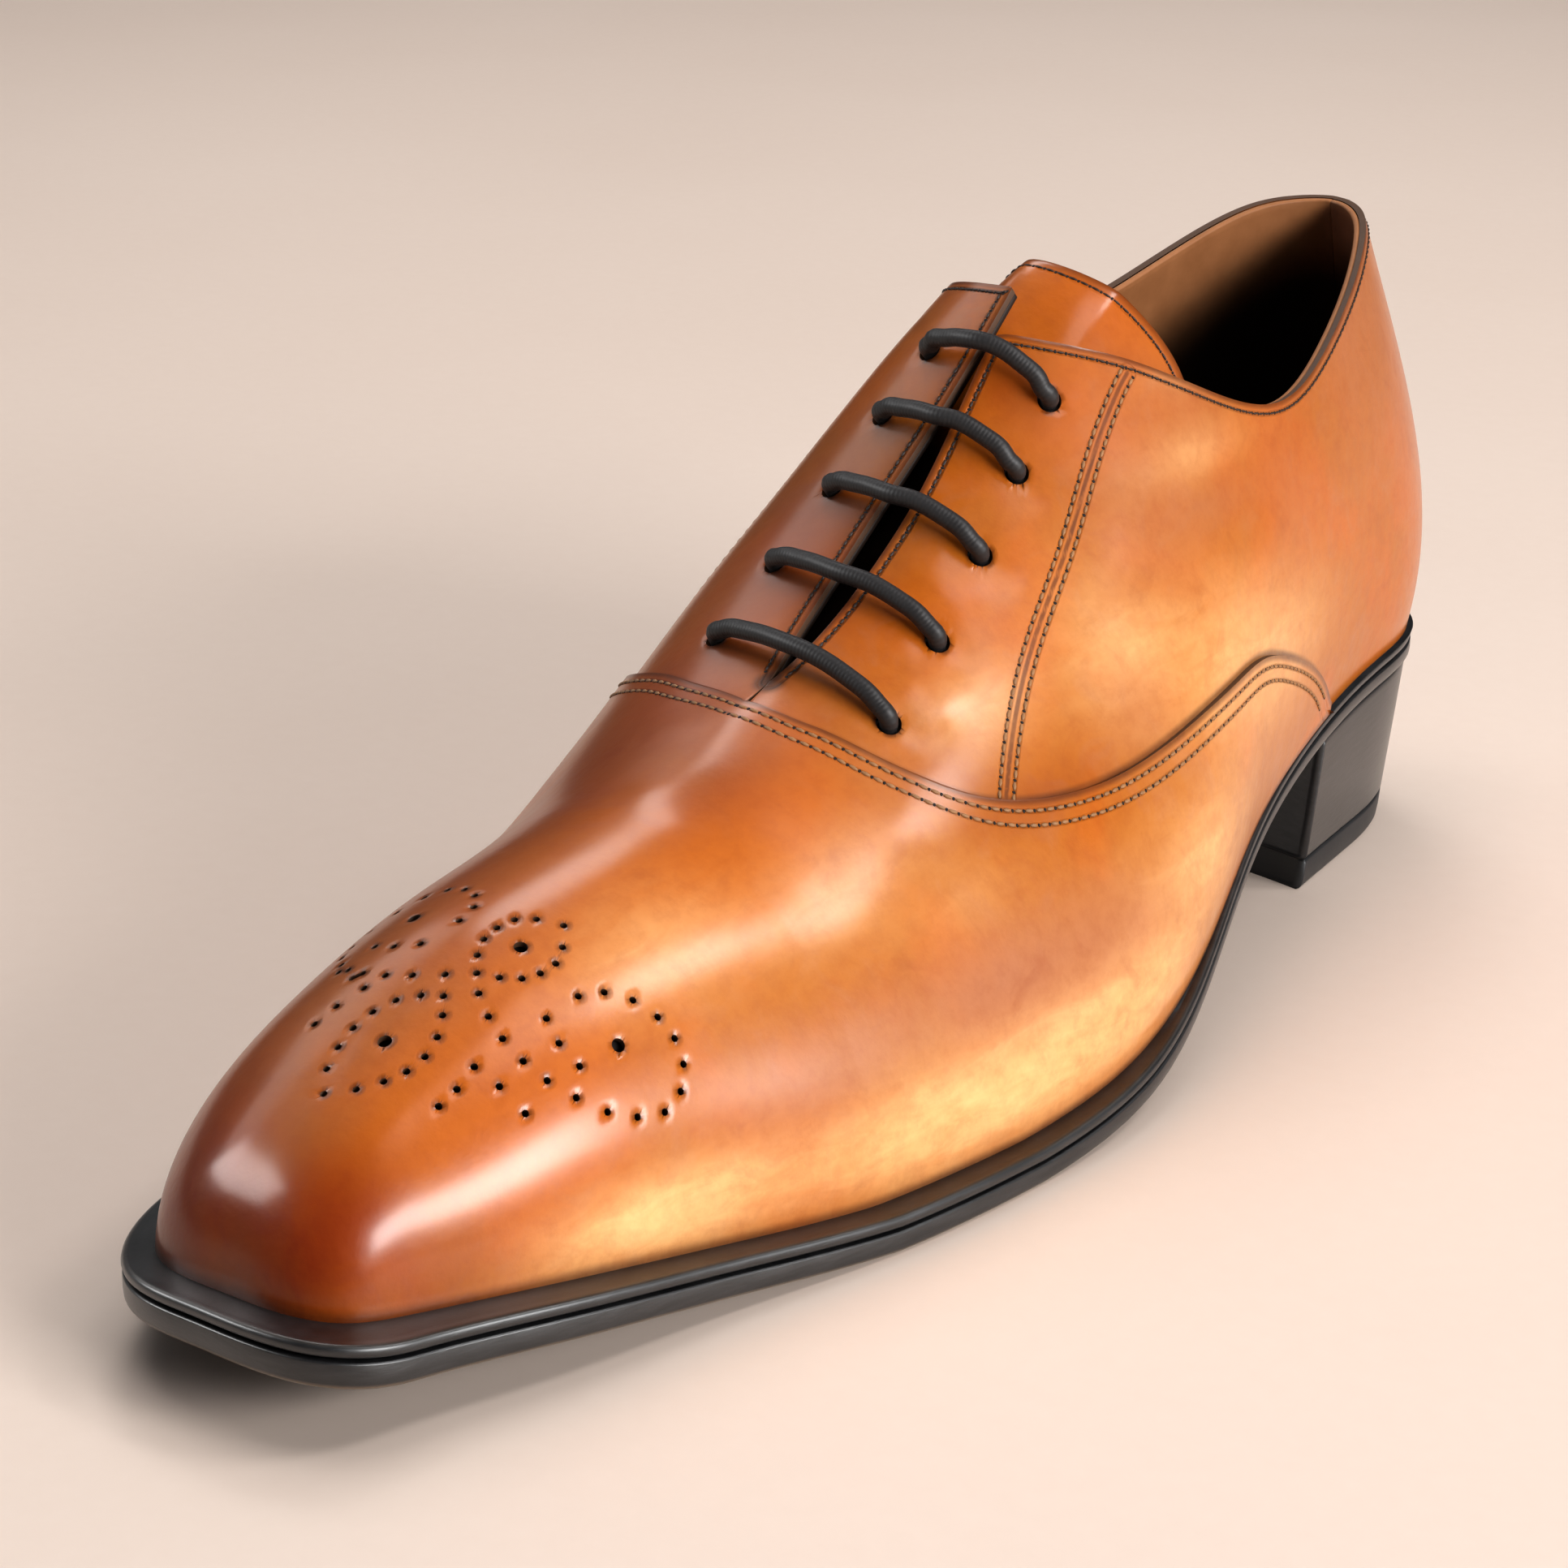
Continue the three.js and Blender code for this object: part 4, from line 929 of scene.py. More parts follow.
# The medallion, in mm along the ridge from its front and across from the ridge
MEDALLION_FRONT = -0.130
MEDALLION_START = (2.0, 3.3)
MEDALLION_WAY = (0.204, 0.979)
SMALL_HOLE, LARGE_HOLE = 0.5, 0.95
ON_AXIS = [(0, 0), (20.6, 0), (26.3, 0), (41.1, 0)]
RINGS = [
    (3, 3), (6.3, 4.6), (9.6, 5.4), (12.9, 5.3), (16, 4.2), (18.6, 2.2),
    (28.3, 2.3), (30.8, 4), (33.5, 4.6), (36.3, 4.4), (38.7, 2.8),
]
PETAL = [
    (24.5, 2.6), (23.5, 5.9), (23.4, 9.2), (24.4, 12.8), (26.4, 16.2), (29.6, 19.6), (33.6, 22.8), (38, 25),
    (42.4, 26), (45.6, 24.8), (47.2, 22.2), (47.2, 19.1), (46, 16), (43.6, 12.9), (40.2, 10.5), (36.4, 9.5),
    (30.5, 10), (30.4, 13.3), (31.8, 16.8),
]
CURLS = [(10.5, 11.2), (14, 10.9), (17.8, 10), (19.6, 13.6), (21.5, 17.8)]
# The inner half of the pattern is swept forwards, by this share of the way across
PETAL_SWEEP, CURL_SWEEP = 0.55, 0.25
LARGE_ON_AXIS = [(10.5, 0), (33.8, 0)]
LARGE_BESIDE = [(38.6, 16.9)]


def medallion():
    """Holes of the toe's medallion as centre, normal and radius."""
    ys = np.linspace(MEDALLION_FRONT - 0.012, MEDALLION_FRONT + 0.075, 400)
    run = run_along(np.stack([ys, ridge_height(ys)], axis=1))
    run -= np.interp(MEDALLION_FRONT, ys, run)
    marks = [(a, p, SMALL_HOLE) for a, p in ON_AXIS] + [(a, p, LARGE_HOLE) for a, p in LARGE_ON_AXIS]
    for spots, radius, sweep in ((RINGS, SMALL_HOLE, 0), (PETAL, SMALL_HOLE, PETAL_SWEEP),
                                 (CURLS, SMALL_HOLE, CURL_SWEEP), (LARGE_BESIDE, LARGE_HOLE, PETAL_SWEEP)):
        marks += [(a, p, radius) for a, p in spots] + [(a - sweep * p, -p, radius) for a, p in spots]
    us, vs = np.meshgrid(np.linspace(0, 0.36, 260), np.linspace(0.35, 1, 160))
    holes = []
    charts = {}
    for side in SIDES:
        p = last_point(side, us.ravel(), vs.ravel())
        lean = RIDGE_AT["lean"](us.ravel())
        across = side * np.hypot(p[:, 0] - lean, p[:, 2] - ridge_height(p[:, 1]))
        charts[side] = np.stack([across, np.interp(p[:, 1], ys, run)], axis=1)
    for a, p, radius in marks:
        start, way = np.array(MEDALLION_START), np.array(MEDALLION_WAY)
        spot = (start + a * way + p * np.array([way[1], -way[0]])) * MM
        side = OUTER if spot[0] > 0 else INNER
        nearest = np.argmin(((charts[side] - spot) ** 2).sum(axis=1))
        u, v = us.ravel()[nearest], vs.ravel()[nearest]
        for _ in range(3):
            u, v = towards_chart(side, u, v, spot, ys, run)
        u, v = np.array([u]), np.array([v])
        holes.append((surface(side, u, v, VAMP_FACE)[0], last_normal(side, u, v)[0], radius * MM))
    return holes


def towards_chart(side, u, v, spot, ys, run):
    """One step of u and v towards a spot of the medallion's chart."""
    def chart(u, v):
        p = last_point(side, np.array([u]), np.array([v]))[0]
        across = side * np.hypot(p[0] - RIDGE_AT["lean"](u), p[2] - ridge_height(p[1]))
        return np.array([across, np.interp(p[1], ys, run)])
    h = 1e-4
    here = chart(u, v)
    v_step = -h if v > 0.5 else h
    slope = np.stack([(chart(u + h, v) - here) / h, (chart(u, v + v_step) - here) / v_step], axis=1)
    du, dv = np.linalg.lstsq(slope, spot - here, rcond=None)[0]
    u = np.clip(u + np.clip(du, -0.02, 0.02), 0, 0.45)
    return float(u), float(np.clip(v + np.clip(dv, -0.1, 0.1), 0.2, 1))


HOLE_SPARE = 0.00008
HOLE_SINK = 0.00008


def punch(bm, holes, cell):
    """Punches round holes in a sheet of small cells. The points inside go, and the ring left round each comes
    in to its circle."""
    tree = tree_of([v.co for v in bm.verts])
    bm.verts.ensure_lookup_table()
    inside = set()
    for centre, normal, radius in holes:
        inside.update(found[1] for found in tree.find_range(centre, radius + HOLE_SPARE))
    bmesh.ops.delete(bm, geom=[bm.verts[i] for i in inside], context="VERTS")
    centres = tree_of([hole[0] for hole in holes])
    for v in bm.verts:
        if not v.is_boundary:
            continue
        spot, i, distance = centres.find(v.co)
        centre, normal, radius = holes[i]
        if distance > radius + cell:
            continue
        away = np.array(v.co) - centre
        up = away @ normal
        flat = away - up * normal
        v.co = centre + flat / np.linalg.norm(flat) * radius + normal * (up - HOLE_SINK)


def rim_distance(points, holes):
    """Distance in mm from each point to the rim of the nearest hole."""
    tree = tree_of([hole[0] for hole in holes])
    found = [tree.find(p) for p in points]
    return np.array([max(0.0, d - holes[i][2]) / MM for spot, i, d in found])


VAMP_COLUMNS, VAMP_ROWS = 620, 110
VAMP_CELL = 0.0011


def build_vamp():
    bm = grid(VAMP_COLUMNS, VAMP_ROWS)
    flat = flat_of(bm)
    share = np.interp(np.abs(2 * flat[:, 0] - 1), [0, 0.66, 1], [0, RIDGE_SHARE, 1])
    up = np.interp(flat[:, 1], [0, 0.18, 1], [0, 0.28, 1])
    points = np.zeros((len(flat), 3))
    seam, foot = np.zeros(len(flat)), np.zeros(len(flat))
    for side, mine in halves(flat):
        u, v = sheet(side, np.stack([share[mine], up[mine]], axis=1), VAMP_TOPS[side], VAMP_FEET[side])
        points[mine] = surface(side, u, v, VAMP_FACE)
        seam[mine] = near(points[mine], line(side, SEAMS[side], VAMP_FACE, 900))
        # Distance to the feather line, for the painted shade where the upper meets the welt.
        foot[mine] = near(points[mine], line(side, VAMP_FEET[side], VAMP_FACE, 900))
    holes = medallion()
    put(bm, points, {**tones(points), "seam": seam, "foot": foot, "hole": rim_distance(points, holes)})
    close_up(bm)
    face_towards(bm, (holes[0][0], holes[0][1]))
    punch(bm, holes, VAMP_CELL)
    turn_down(bm, VAMP_WALL)
    piece("vamp", bm, [vamp_calf, cut_edge], replaces=["upper"], rim=0.0002)
    return holes


SHADE_SHEET_END, SHADE_SHEET_FOOT, SHADE_SHEET_DEPTH = 0.36, 0.35, 0.0006


def build_medallion_shade(holes):
    """A sheet of painted shade under the medallion, seen through its holes."""
    bm = grid(60, 24)
    flat = flat_of(bm)
    points = np.zeros((len(flat), 3))
    for side, mine in halves(flat):
        share = np.abs(2 * flat[mine, 0] - 1) * SHADE_SHEET_END
        toe = np.stack([share, SHADE_SHEET_FOOT + (1 - SHADE_SHEET_FOOT) * flat[mine, 1]], axis=1)
        u, v = sheet(side, toe, VAMP_TOPS[side], VAMP_FEET[side])
        points[mine] = surface(side, u, v, VAMP_FACE - VAMP_WALL - SHADE_SHEET_DEPTH)
    put(bm, points)
    close_up(bm)
    face_towards(bm, (holes[0][0], holes[0][1]))
    piece("medallion_shade_sheet", bm, shade_inside)


QUARTER_COLUMNS, QUARTER_ROWS = 330, 76
QUARTER_CELL = 0.0019
FACING_LINE = [
    (0.436, 0.47), (0.453, 0.517), (0.484, 0.580), (0.521, 0.617), (0.564, 0.633), (0.607, 0.657),
    (0.647, 0.670),
]
EYELET_SPOTS = {}
for side in SIDES:
    EYELET_SPOTS[side] = []
    for u, outer_share, inner_share in EYELETS:
        share = outer_share if side == OUTER else inner_share
        u = np.array([u])
        v = at_distance(side, u, share * LAST_WIDTH)
        centre, out = surface(side, u, v, QUARTER_FACE)[0], last_normal(side, u, v)[0]
        EYELET_SPOTS[side].append((centre, out, EYELET / 2, u[0], v[0]))

TOPS = {side: top_path(side, THROAT) for side in SIDES}
FACING_ROWS = {}
for side in SIDES:
    facing_u, facing_v = np.array(FACING_LINE).T
    many = np.linspace(facing_u[0], facing_u[-1], 120)
    FACING_ROWS[side] = path(side, many, spline(facing_u, facing_v)(many))


QUARTER_UNDERLAP = 0.006


def quarter_foot(side):
    """The quarter's lower edge: under the vamp along the seam, then the feather line."""
    under = beside(side, SEAMS[side], -QUARTER_UNDERLAP)
    keep = under[2] > 0.0
    u, v = under[1][keep], np.minimum(under[2][keep], 1)
    last_u = max(u[-1], 0.72)
    rest = np.linspace(last_u, 1, 60)[1:]
    return path(side, np.concatenate([u, rest]), np.concatenate([v, 0 * rest]))


def build_quarter(side):
    bm = grid(QUARTER_COLUMNS, QUARTER_ROWS)
    flat = flat_of(bm)
    u, v = sheet(side, flat, TOPS[side], quarter_foot(side))
    points = surface(side, u, v, QUARTER_FACE)
    holes = [spot[:3] for spot in EYELET_SPOTS[side]]
    fields = tones(points)
    fields["seam"] = near(points, line(side, TOPS[side], QUARTER_FACE, 900))
    # Distance to the vamp's edge, for the painted shadow that this edge casts on the quarter.
    fields["lap"] = near(points, line(side, SEAMS[side], QUARTER_FACE, 900))
    fields["facing"] = near(points, line(side, FACING_ROWS[side], QUARTER_FACE, 500))
    fields["hole"] = rim_distance(points, holes)
    throat = last_point(side, np.array([THROAT]), np.array([1.0]))
    # Painted shade at the throat, where the facings meet at the bottom of the slot.
    fields["shut"] = 0.7 * smooth(near(points, throat), 3.2, 1.6)
    put(bm, points, fields)
    close_up(bm)
    face_towards(bm, (holes[2][0], holes[2][1]))
    punch(bm, holes, QUARTER_CELL)
    name = "quarter_outer" if side == OUTER else "quarter_inner"
    turn_down(bm, QUARTER_WALL)
    piece(name, bm, [quarter_calf, cut_edge], rim=0.0003)


def build_lining():
    for side in SIDES:
        bm = grid(180, 40)
        flat = flat_of(bm)
        low = np.linspace(THROAT - 0.02, 1, 120)
        u, v = sheet(side, flat, TOPS[side], path(side, low, 0 * low))
        points = surface(side, u, v, LINING_FACE)
        # Painted shade inside the shoe: the lining darkens below its top edge, soon on the outer wall, lower
        # down on the inner one, and under the facings.
        below = near(points, line(side, TOPS[side], LINING_FACE, 500))
        heel = smooth(u, 0.86, 1)
        start = 1 + 4 * heel if side == OUTER else 9 - 4 * heel
        reach = 6 + 5 * heel if side == OUTER else 21 - 10 * heel
        inside = smooth((below - start) / reach, 0, 1)
        under_facing = smooth(u, FACING_TOP + 0.06, FACING_TOP + 0.03)
        put(bm, points, {"deep": 0.97 * np.maximum(inside, under_facing)})
        close_up(bm)
        middle = EYELET_SPOTS[side][2]
        face_towards(bm, (middle[0], middle[1]))
        name = "lining_outer" if side == OUTER else "lining_inner"
        piece(name, bm, lining_leather, wall=LINING_WALL, rim=0.0003)


def joined(name, template, frames, material):
    """Many small copies of one shape in one mesh. frames: a 3 x 4 matrix for each copy."""
    shape = np.array([v.co for v in template.verts])
    faces = [[v.index for v in face.verts] for face in template.faces]
    template.free()
    copies = np.einsum("kij,nj->kni", frames[:, :, :3], shape) + frames[:, None, :, 3]
    mesh = bpy.data.meshes.new(name)
    all_faces = [[i + k * len(shape) for i in face] for k in range(len(frames)) for face in faces]
    mesh.from_pydata((copies.reshape(-1, 3) + TO_FRAME).tolist(), [], all_faces)
    mesh.polygons.foreach_set("use_smooth", [True] * len(mesh.polygons))
    mesh.materials.append(material)
    made = placed(name, mesh)
    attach(made, "root")


def ball(around, rings):
    bm = bmesh.new()
    bmesh.ops.create_uvsphere(bm, u_segments=around, v_segments=rings, radius=0.5)
    bm.verts.ensure_lookup_table()
    bm.verts.index_update()
    return bm


THREAD = 0.00062
FINE_THREAD = 0.0004
THREAD_HEIGHT = 0.0005
STITCH_SHARE = 0.8
SEAM_PITCH = 0.0019
EDGE_PITCH = 0.0017
dice = np.random.default_rng(7)


def stitch_row(side, way, face, pitch):
    """Needle holes of a row of stitches along a path on the last, and the way out at each."""
    u, v = on_path(way, np.linspace(0, 1, 1600))
    return needle_row(line(side, way, face, 1600), last_normal(side, u, v), pitch)


def needle_row(points, normals, pitch):
    run = run_along(points)
    count = max(2, int(run[-1] / pitch))
    ends = np.linspace(0, run[-1], count + 1)
    at = np.stack([np.interp(ends, run, points[:, k]) for k in range(3)], axis=1)
    out = unit(np.stack([np.interp(ends, run, normals[:, k]) for k in range(3)], axis=1))
    return at, out


def sew(name, rows, thread, width=THREAD):
    """Stitches with a needle hole between each two."""
    frames, dots = [], []
    for at, out in rows:
        along = at[1:] - at[:-1]
        length = np.linalg.norm(along, axis=1, keepdims=True)
        middle = (at[1:] + at[:-1]) / 2
        n = unit(out[1:] + out[:-1])
        t = along / length
        s = np.cross(n, t)
        swing = dice.normal(0, 0.05, len(t))[:, None]
        t, s = unit(t + s * swing), unit(s - t * swing)
        size = length * STITCH_SHARE * (1 + dice.normal(0, 0.04, len(t))[:, None])
        frame = np.stack([t * size, s * width, n * THREAD_HEIGHT, middle + n * 0.00003], axis=2)
        frames.append(frame)
        # Dark dots of painted shade for the needle holes.
        hole_t = unit(np.gradient(at, axis=0))
        hole_s = np.cross(out, hole_t)
        dots.append(np.stack([hole_t * 0.0005, hole_s * 0.0006, out * 0.00012, at + out * 0.00002], axis=2))
    joined(name, ball(6, 6), np.concatenate(frames), thread)
    joined(name + "_holes", ball(8, 4), np.concatenate(dots), needle_hole_shade)


def trimmed(way, start, end):
    """Part of a path, between two shares of its length."""
    share = np.linspace(start, end, 300)
    u, v = on_path(way, share)
    return np.array([(share - start) / (end - start), u, v])


def build_stitches():
    rows = []
    for side in SIDES:
        for away in SEAM_ROWS:
            way = trimmed(beside(side, SEAMS[side], -away * MM), 0.0, 0.965)
            rows.append(stitch_row(side, way, VAMP_FACE, SEAM_PITCH))
    sew("vamp_stitches", rows, tan_thread)
    rows = []
    for side in SIDES:
        for away in (FACING_ROW, -FACING_ROW):
            way = beside(side, FACING_ROWS[side], away * MM)
            rows.append(stitch_row(side, way, QUARTER_FACE, SEAM_PITCH))
    sew("facing_stitches", rows, tan_thread)
    rows = []
    for side in SIDES:
        way = trimmed(beside(side, TOPS[side], -TOP_ROW * MM), 0.01, 0.995)
        rows.append(stitch_row(side, way, QUARTER_FACE, EDGE_PITCH))
    sew("edge_stitches", rows, dark_thread, width=FINE_THREAD)


# The tongue
TONGUE_START = SLOT_START - 0.009
TONGUE_TOP = COLLAR_START + TONGUE_RISE
TONGUE_CORNER = 0.012
TONGUE_WAIST = 0.62
TONGUE_LIFT = 0.004
CROWN_PULL = 0.2
LACE_ROOM = 0.0026
UNDER_FACING = WALL + GAP + LACE_ROOM + GAP - QUARTER_FACE
UNDER_VAMP = WALL + GAP - QUARTER_FACE
TONGUE_FIRST = float(last_inside(lambda u: RIDGE_AT["along"](u) < TONGUE_START))
TONGUE_LAST = float(last_inside(lambda u: RIDGE_AT["along"](u) < TONGUE_TOP))


def tongue_point(side, u, t, half):
    u, t, half = np.broadcast_arrays(u, t, half)
    v = at_distance(side, u, t * half)
    behind = (RIDGE_AT["along"](u) - SLOT_START) / TONGUE_LIFT
    depth = UNDER_VAMP + (UNDER_FACING - UNDER_VAMP) * smooth(behind, -0.5, 1)
    return last_point(side, u, v) - last_normal(side, u, v) * depth[..., None]


def tongue_end(side, t):
    """u at which each line t of the tongue meets its end."""
    apex = ridge_point(OUTER, np.array([TONGUE_LAST]))[0]
    instep = apex - ridge_point(OUTER, np.array([THROAT]))[0]
    instep[0] = 0
    instep = instep / np.linalg.norm(instep)
    apex = apex + np.array([0, instep[2], -instep[1]]) * UNDER_FACING

    def below(u):
        return (tongue_point(side, u, t, TONGUE_HALF) - apex) @ instep < -TONGUE_CORNER * t ** 8
    return last_inside(below, t.shape)


def build_tongue():
    columns, rows = 48, 70
    arm = 16
    bm = grid(columns, rows)
    flat = flat_of(bm)
    sheet_rows = []
    shares = np.linspace(0, 1, rows + 1)
    t = np.linspace(1, 0.5, arm + 1)
    ends = {side: tongue_end(side, t) for side in SIDES}
    middle = columns - 2 * arm
    w = np.linspace(0, 1, middle + 1)[1:-1, None]
    for share in shares:
        half = TONGUE_HALF * (TONGUE_WAIST + (1 - TONGUE_WAIST) * math.sqrt(share))
        arms = {}
        for side in SIDES:
            u = TONGUE_FIRST + (ends[side] - TONGUE_FIRST) * share
            arms[side] = tongue_point(side, u, t, half)
        a, b = arms[OUTER][-1], arms[INNER][-1]
        pull = CROWN_PULL * np.linalg.norm(b - a)
        c = a + unit(arms[OUTER][-1] - arms[OUTER][-2]) * pull
        d = b + unit(arms[INNER][-1] - arms[INNER][-2]) * pull
        crown = (1 - w) ** 3 * a + 3 * w * (1 - w) ** 2 * c + 3 * w * w * (1 - w) * d + w ** 3 * b
        sheet_rows.append(np.concatenate([arms[OUTER], crown, arms[INNER][::-1]]))
    table = np.array(sheet_rows)
    i = np.rint(flat[:, 1] * rows).astype(int)
    j = np.rint(flat[:, 0] * columns).astype(int)
    points = table[i, j]
    border = np.concatenate([table[:, 0], table[:, -1], table[-1]])
    hem = table[-3, 2:-2]
    out = unit(np.cross(np.gradient(hem, axis=0), table[-1, 2:-2] - table[-5, 2:-2]))
    sew("tongue_stitches", [needle_row(hem, out * np.sign(out[:, 2:]), SEAM_PITCH)], dark_thread,
        width=FINE_THREAD)
    fields = tones(points)
    fields["core"] = np.maximum(fields["core"], 0.8)
    # Painted shade on the tongue where it lies in the slot, under the facings.
    fields["shut"] = smooth(points[:, 1], COLLAR_START - 0.002, COLLAR_START - 0.009)
    fields["seam"] = near(points, border)
    fields["hole"] = np.full(len(points), FAR)
    put(bm, points, fields)
    close_up(bm)
    face_towards(bm, (table[rows // 2, columns // 2], (0, -0.7, 0.7)))
    piece("tongue_leather", bm, [tongue_calf, cut_edge], replaces=["tongue"],
          wall=TONGUE_THICKNESS, rim=0.0004)


# The lace
LACE_RADIUS = LACE / 2
LACE_OVER = 0.0016
LACE_UNDER = 0.0038
LACE_TURN = 0.0017
BAR_ARCH = 0.0013
BAR_STEPS = 10


def quarter_turn(corner, start, into):
    angles = np.linspace(0, math.pi / 2, 5)[:, None]
    return list(corner + start * LACE_TURN * (np.sin(angles) - 1) + into * LACE_TURN * (1 - np.cos(angles)))


def lace_bars():
    """Points of the lace's five bars, each from under one facing to under the other."""
    bars = []
    for k in range(len(EYELETS)):
        ends = [EYELET_SPOTS[side][k] for side in SIDES]
        (a, a_out), (b, b_out) = [(end[0], end[1]) for end in ends]
        across = unit(b - a)

        def level(n):
            return unit(across - n * (across @ n))
        points = [a - a_out * LACE_UNDER] + quarter_turn(a + a_out * LACE_OVER, a_out, level(a_out))
        gaps = [end[0][0] - float(RIDGE_AT["lean"](end[3])) for end in ends]
        arch = BAR_ARCH * (1.6 if k == len(EYELETS) - 1 else 1)
        for i in range(1, BAR_STEPS):
            t = i / BAR_STEPS
            beside_ridge = gaps[0] + (gaps[1] - gaps[0]) * t
            side = OUTER if beside_ridge > 0 else INNER
            u = np.array([ends[0][3]])
            v = at_distance(side, u, abs(beside_ridge))
            n = unit(a_out + (b_out - a_out) * t)
            points.append(last_point(side, u, v)[0] + n * (LACE_OVER + QUARTER_FACE + arch * 4 * t * (1 - t)))
        points += quarter_turn(b + b_out * LACE_OVER, level(b_out), -b_out) + [b - b_out * LACE_UNDER]
        bars.append(np.array(points))
    return bars


def smooth_line(points, count):
    run = run_along(points)
    at = np.linspace(0, run[-1], count)
    eased = np.stack([spline(run, points[:, k])(at) for k in range(3)], axis=1)
    return eased, at


def tube(points, run, radius, around=16):
    """A round cord along the points, closed at both ends."""
    bm = grid(around, len(points) + 1)
    flat = flat_of(bm)
    tangent = unit(np.gradient(points, axis=0))
    side = unit(np.cross((0, 1, 0.4), tangent))
    up = np.cross(tangent, side)
    row = np.rint(flat[:, 1] * (len(points) + 1)).astype(int)
    at = np.clip(row - 1, 0, len(points) - 1)
    width = np.where((row == 0) | (row == len(points) + 1), 0, radius)[:, None]
    angle = flat[:, 0] * 2 * math.pi
    placed = points[at] + width * (side[at] * np.cos(angle)[:, None] + up[at] * np.sin(angle)[:, None])
    put(bm, placed, {"along": run[at] / MM, "around": np.abs(flat[:, 0] - 0.5) * 2})
    close_up(bm)
    bmesh.ops.recalc_face_normals(bm, faces=bm.faces)
    return bm


def build_lace():
    whole = bmesh.new()
    start = 0.0
    for bar in lace_bars():
        points, run = smooth_line(bar, 70)
        one = tube(points, run + start, LACE_RADIUS)
        start += run[-1]
        held = bpy.data.meshes.new("bar")
        one.to_mesh(held)
        one.free()
        whole.from_mesh(held)
        bpy.data.meshes.remove(held)
    piece("lace_bars", whole, cord_finish, replaces=["lace"])


def build_eyelet_shades():
    """Dark discs under the eyelets, where the lace goes in."""
    frames = []
    for side in SIDES:
        for centre, out, radius, u, v in EYELET_SPOTS[side]:
            along = unit(np.cross(out, (1, 0, 0)))
            across = np.cross(out, along)
            disc = np.stack([along, across, out * 0.05], axis=1) * (radius + 0.0006)
            frames.append(np.concatenate([disc, (centre - out * 0.0014)[:, None]], axis=1))
    bm = bmesh.new()
    bmesh.ops.create_uvsphere(bm, u_segments=12, v_segments=4, radius=1)
    bm.verts.index_update()
    joined("eyelet_shade", bm, np.array(frames), shade_inside)


# The sole and the heel
def around(x):
    """Side and u for a place round the sole: out along the outer side and back along the inner one."""
    share = 1 - np.abs(1 - 2 * x)
    return np.where(x < 0.5, OUTER, INNER), np.interp(share, [0, 0.25, 0.75, 1], [0, 0.1, 0.84, 1])


def both_sides(side, u, offset_of):
    found = np.zeros((len(u), 3))
    for s in SIDES:
        mine = side == s
        found[mine] = edge_point(s, u[mine], offset_of(s, u[mine], mine))
    return found


def plate(columns, knots, bottom, top):
    """A plate of the sole. Each knot of its section: share of the height, share of the welt's reach, step
    outwards in mm, share of the way out from the middle line, and how far the dressing turns lighter brown."""
    bm = grid(columns, len(knots) - 1)
    flat = flat_of(bm)
    row = np.rint(flat[:, 1] * (len(knots) - 1)).astype(int)
    share, reach, push, out, brown_share = np.array(knots, float).T[:, row]
    side, u = around(flat[:, 0])

    def offset(s, u, mine):
        return SECTION[s]["reach"](u) * reach[mine] + push[mine] * MM
    points = both_sides(side, u, offset)
    facing = both_sides(-side, u, offset)
    middle = (points + facing) / 2
    points = middle + (points - middle) * out[:, None]
    points[:, 2] = bottom(points[:, 1]) + share * (top(points[:, 1]) - bottom(points[:, 1]))
    # Every plate carries the painted shade at full strength; only the sock's finish reads it.
    put(bm, points, {"rim": brown_share, "deep": np.ones(len(points))})
    close_up(bm)
    bmesh.ops.recalc_face_normals(bm, faces=bm.faces)
    return bm


SOLE_COLUMNS = 400
OUTSOLE_KNOTS = [
    (0, 1, -2.2, 0, 0), (0, 1, -2.2, 0.5, 0), (0, 1, -2.2, 1, 0), (0.02, 1, -1.0, 1, 0.1),
    (0.1, 1, -0.45, 1, 0.9), (0.17, 1, -0.2, 1, 0.5), (0.25, 1, -0.08, 1, 0), (0.5, 1, 0, 1, 0),
    (0.9, 1, -0.02, 1, 0), (0.955, 1, -0.12, 1, 0),
    (0.985, 1, -0.5, 1, 0), (1, 1, -1.2, 1, 0), (1, 1, -2.2, 0.5, 0), (1, 1, -2.2, 0, 0),
]
WELT_KNOTS = [
    (0, 0, -3.2, 1, 0), (0, 1, -1.0, 1, 0), (0.06, 1, -0.45, 1, 0), (0.2, 1, -0.1, 1, 0),
    (0.5, 1, 0.05, 1, 0),
    (0.82, 1, -0.12, 1, 0), (0.96, 1, -0.45, 1, 0.12), (1, 1, -0.9, 1, 0), (0.96, 1, -1.5, 1, 0),
    (0.98, 1, -2.2, 1, 0), (1, 0, 0.6, 1, 0), (1, 0, -3.2, 1, 0), (0, 0, -3.2, 1, 0),
]
SOCK_KNOTS = [
    (0, 0, -3.5, 0, 0), (0, 0, -3.5, 1, 0), (0.9, 0, -3.5, 1, 0), (1, 0, -3.8, 1, 0),
    (1, 0, -3.8, 0.6, 0), (1, 0, -3.8, 0, 0),
]


def build_sole():
    bm = plate(SOLE_COLUMNS, OUTSOLE_KNOTS, sole_bottom, outsole_top)
    piece("outsole_dressed", bm, black_edge, replaces=["outsole"])
    bm = plate(SOLE_COLUMNS, WELT_KNOTS, welt_bottom, welt_top)
    piece("welt_dressed", bm, black_edge, replaces=["welt"])
    # The sock takes the lining's finish and so is painted in shade all over.
    bm = plate(160, SOCK_KNOTS, lambda y: outsole_top(y) + GAP, lambda y: welt_top(y) + GAP + INSOLE_PROUD)
    piece("sock", bm, lining_leather, replaces=["insole"])


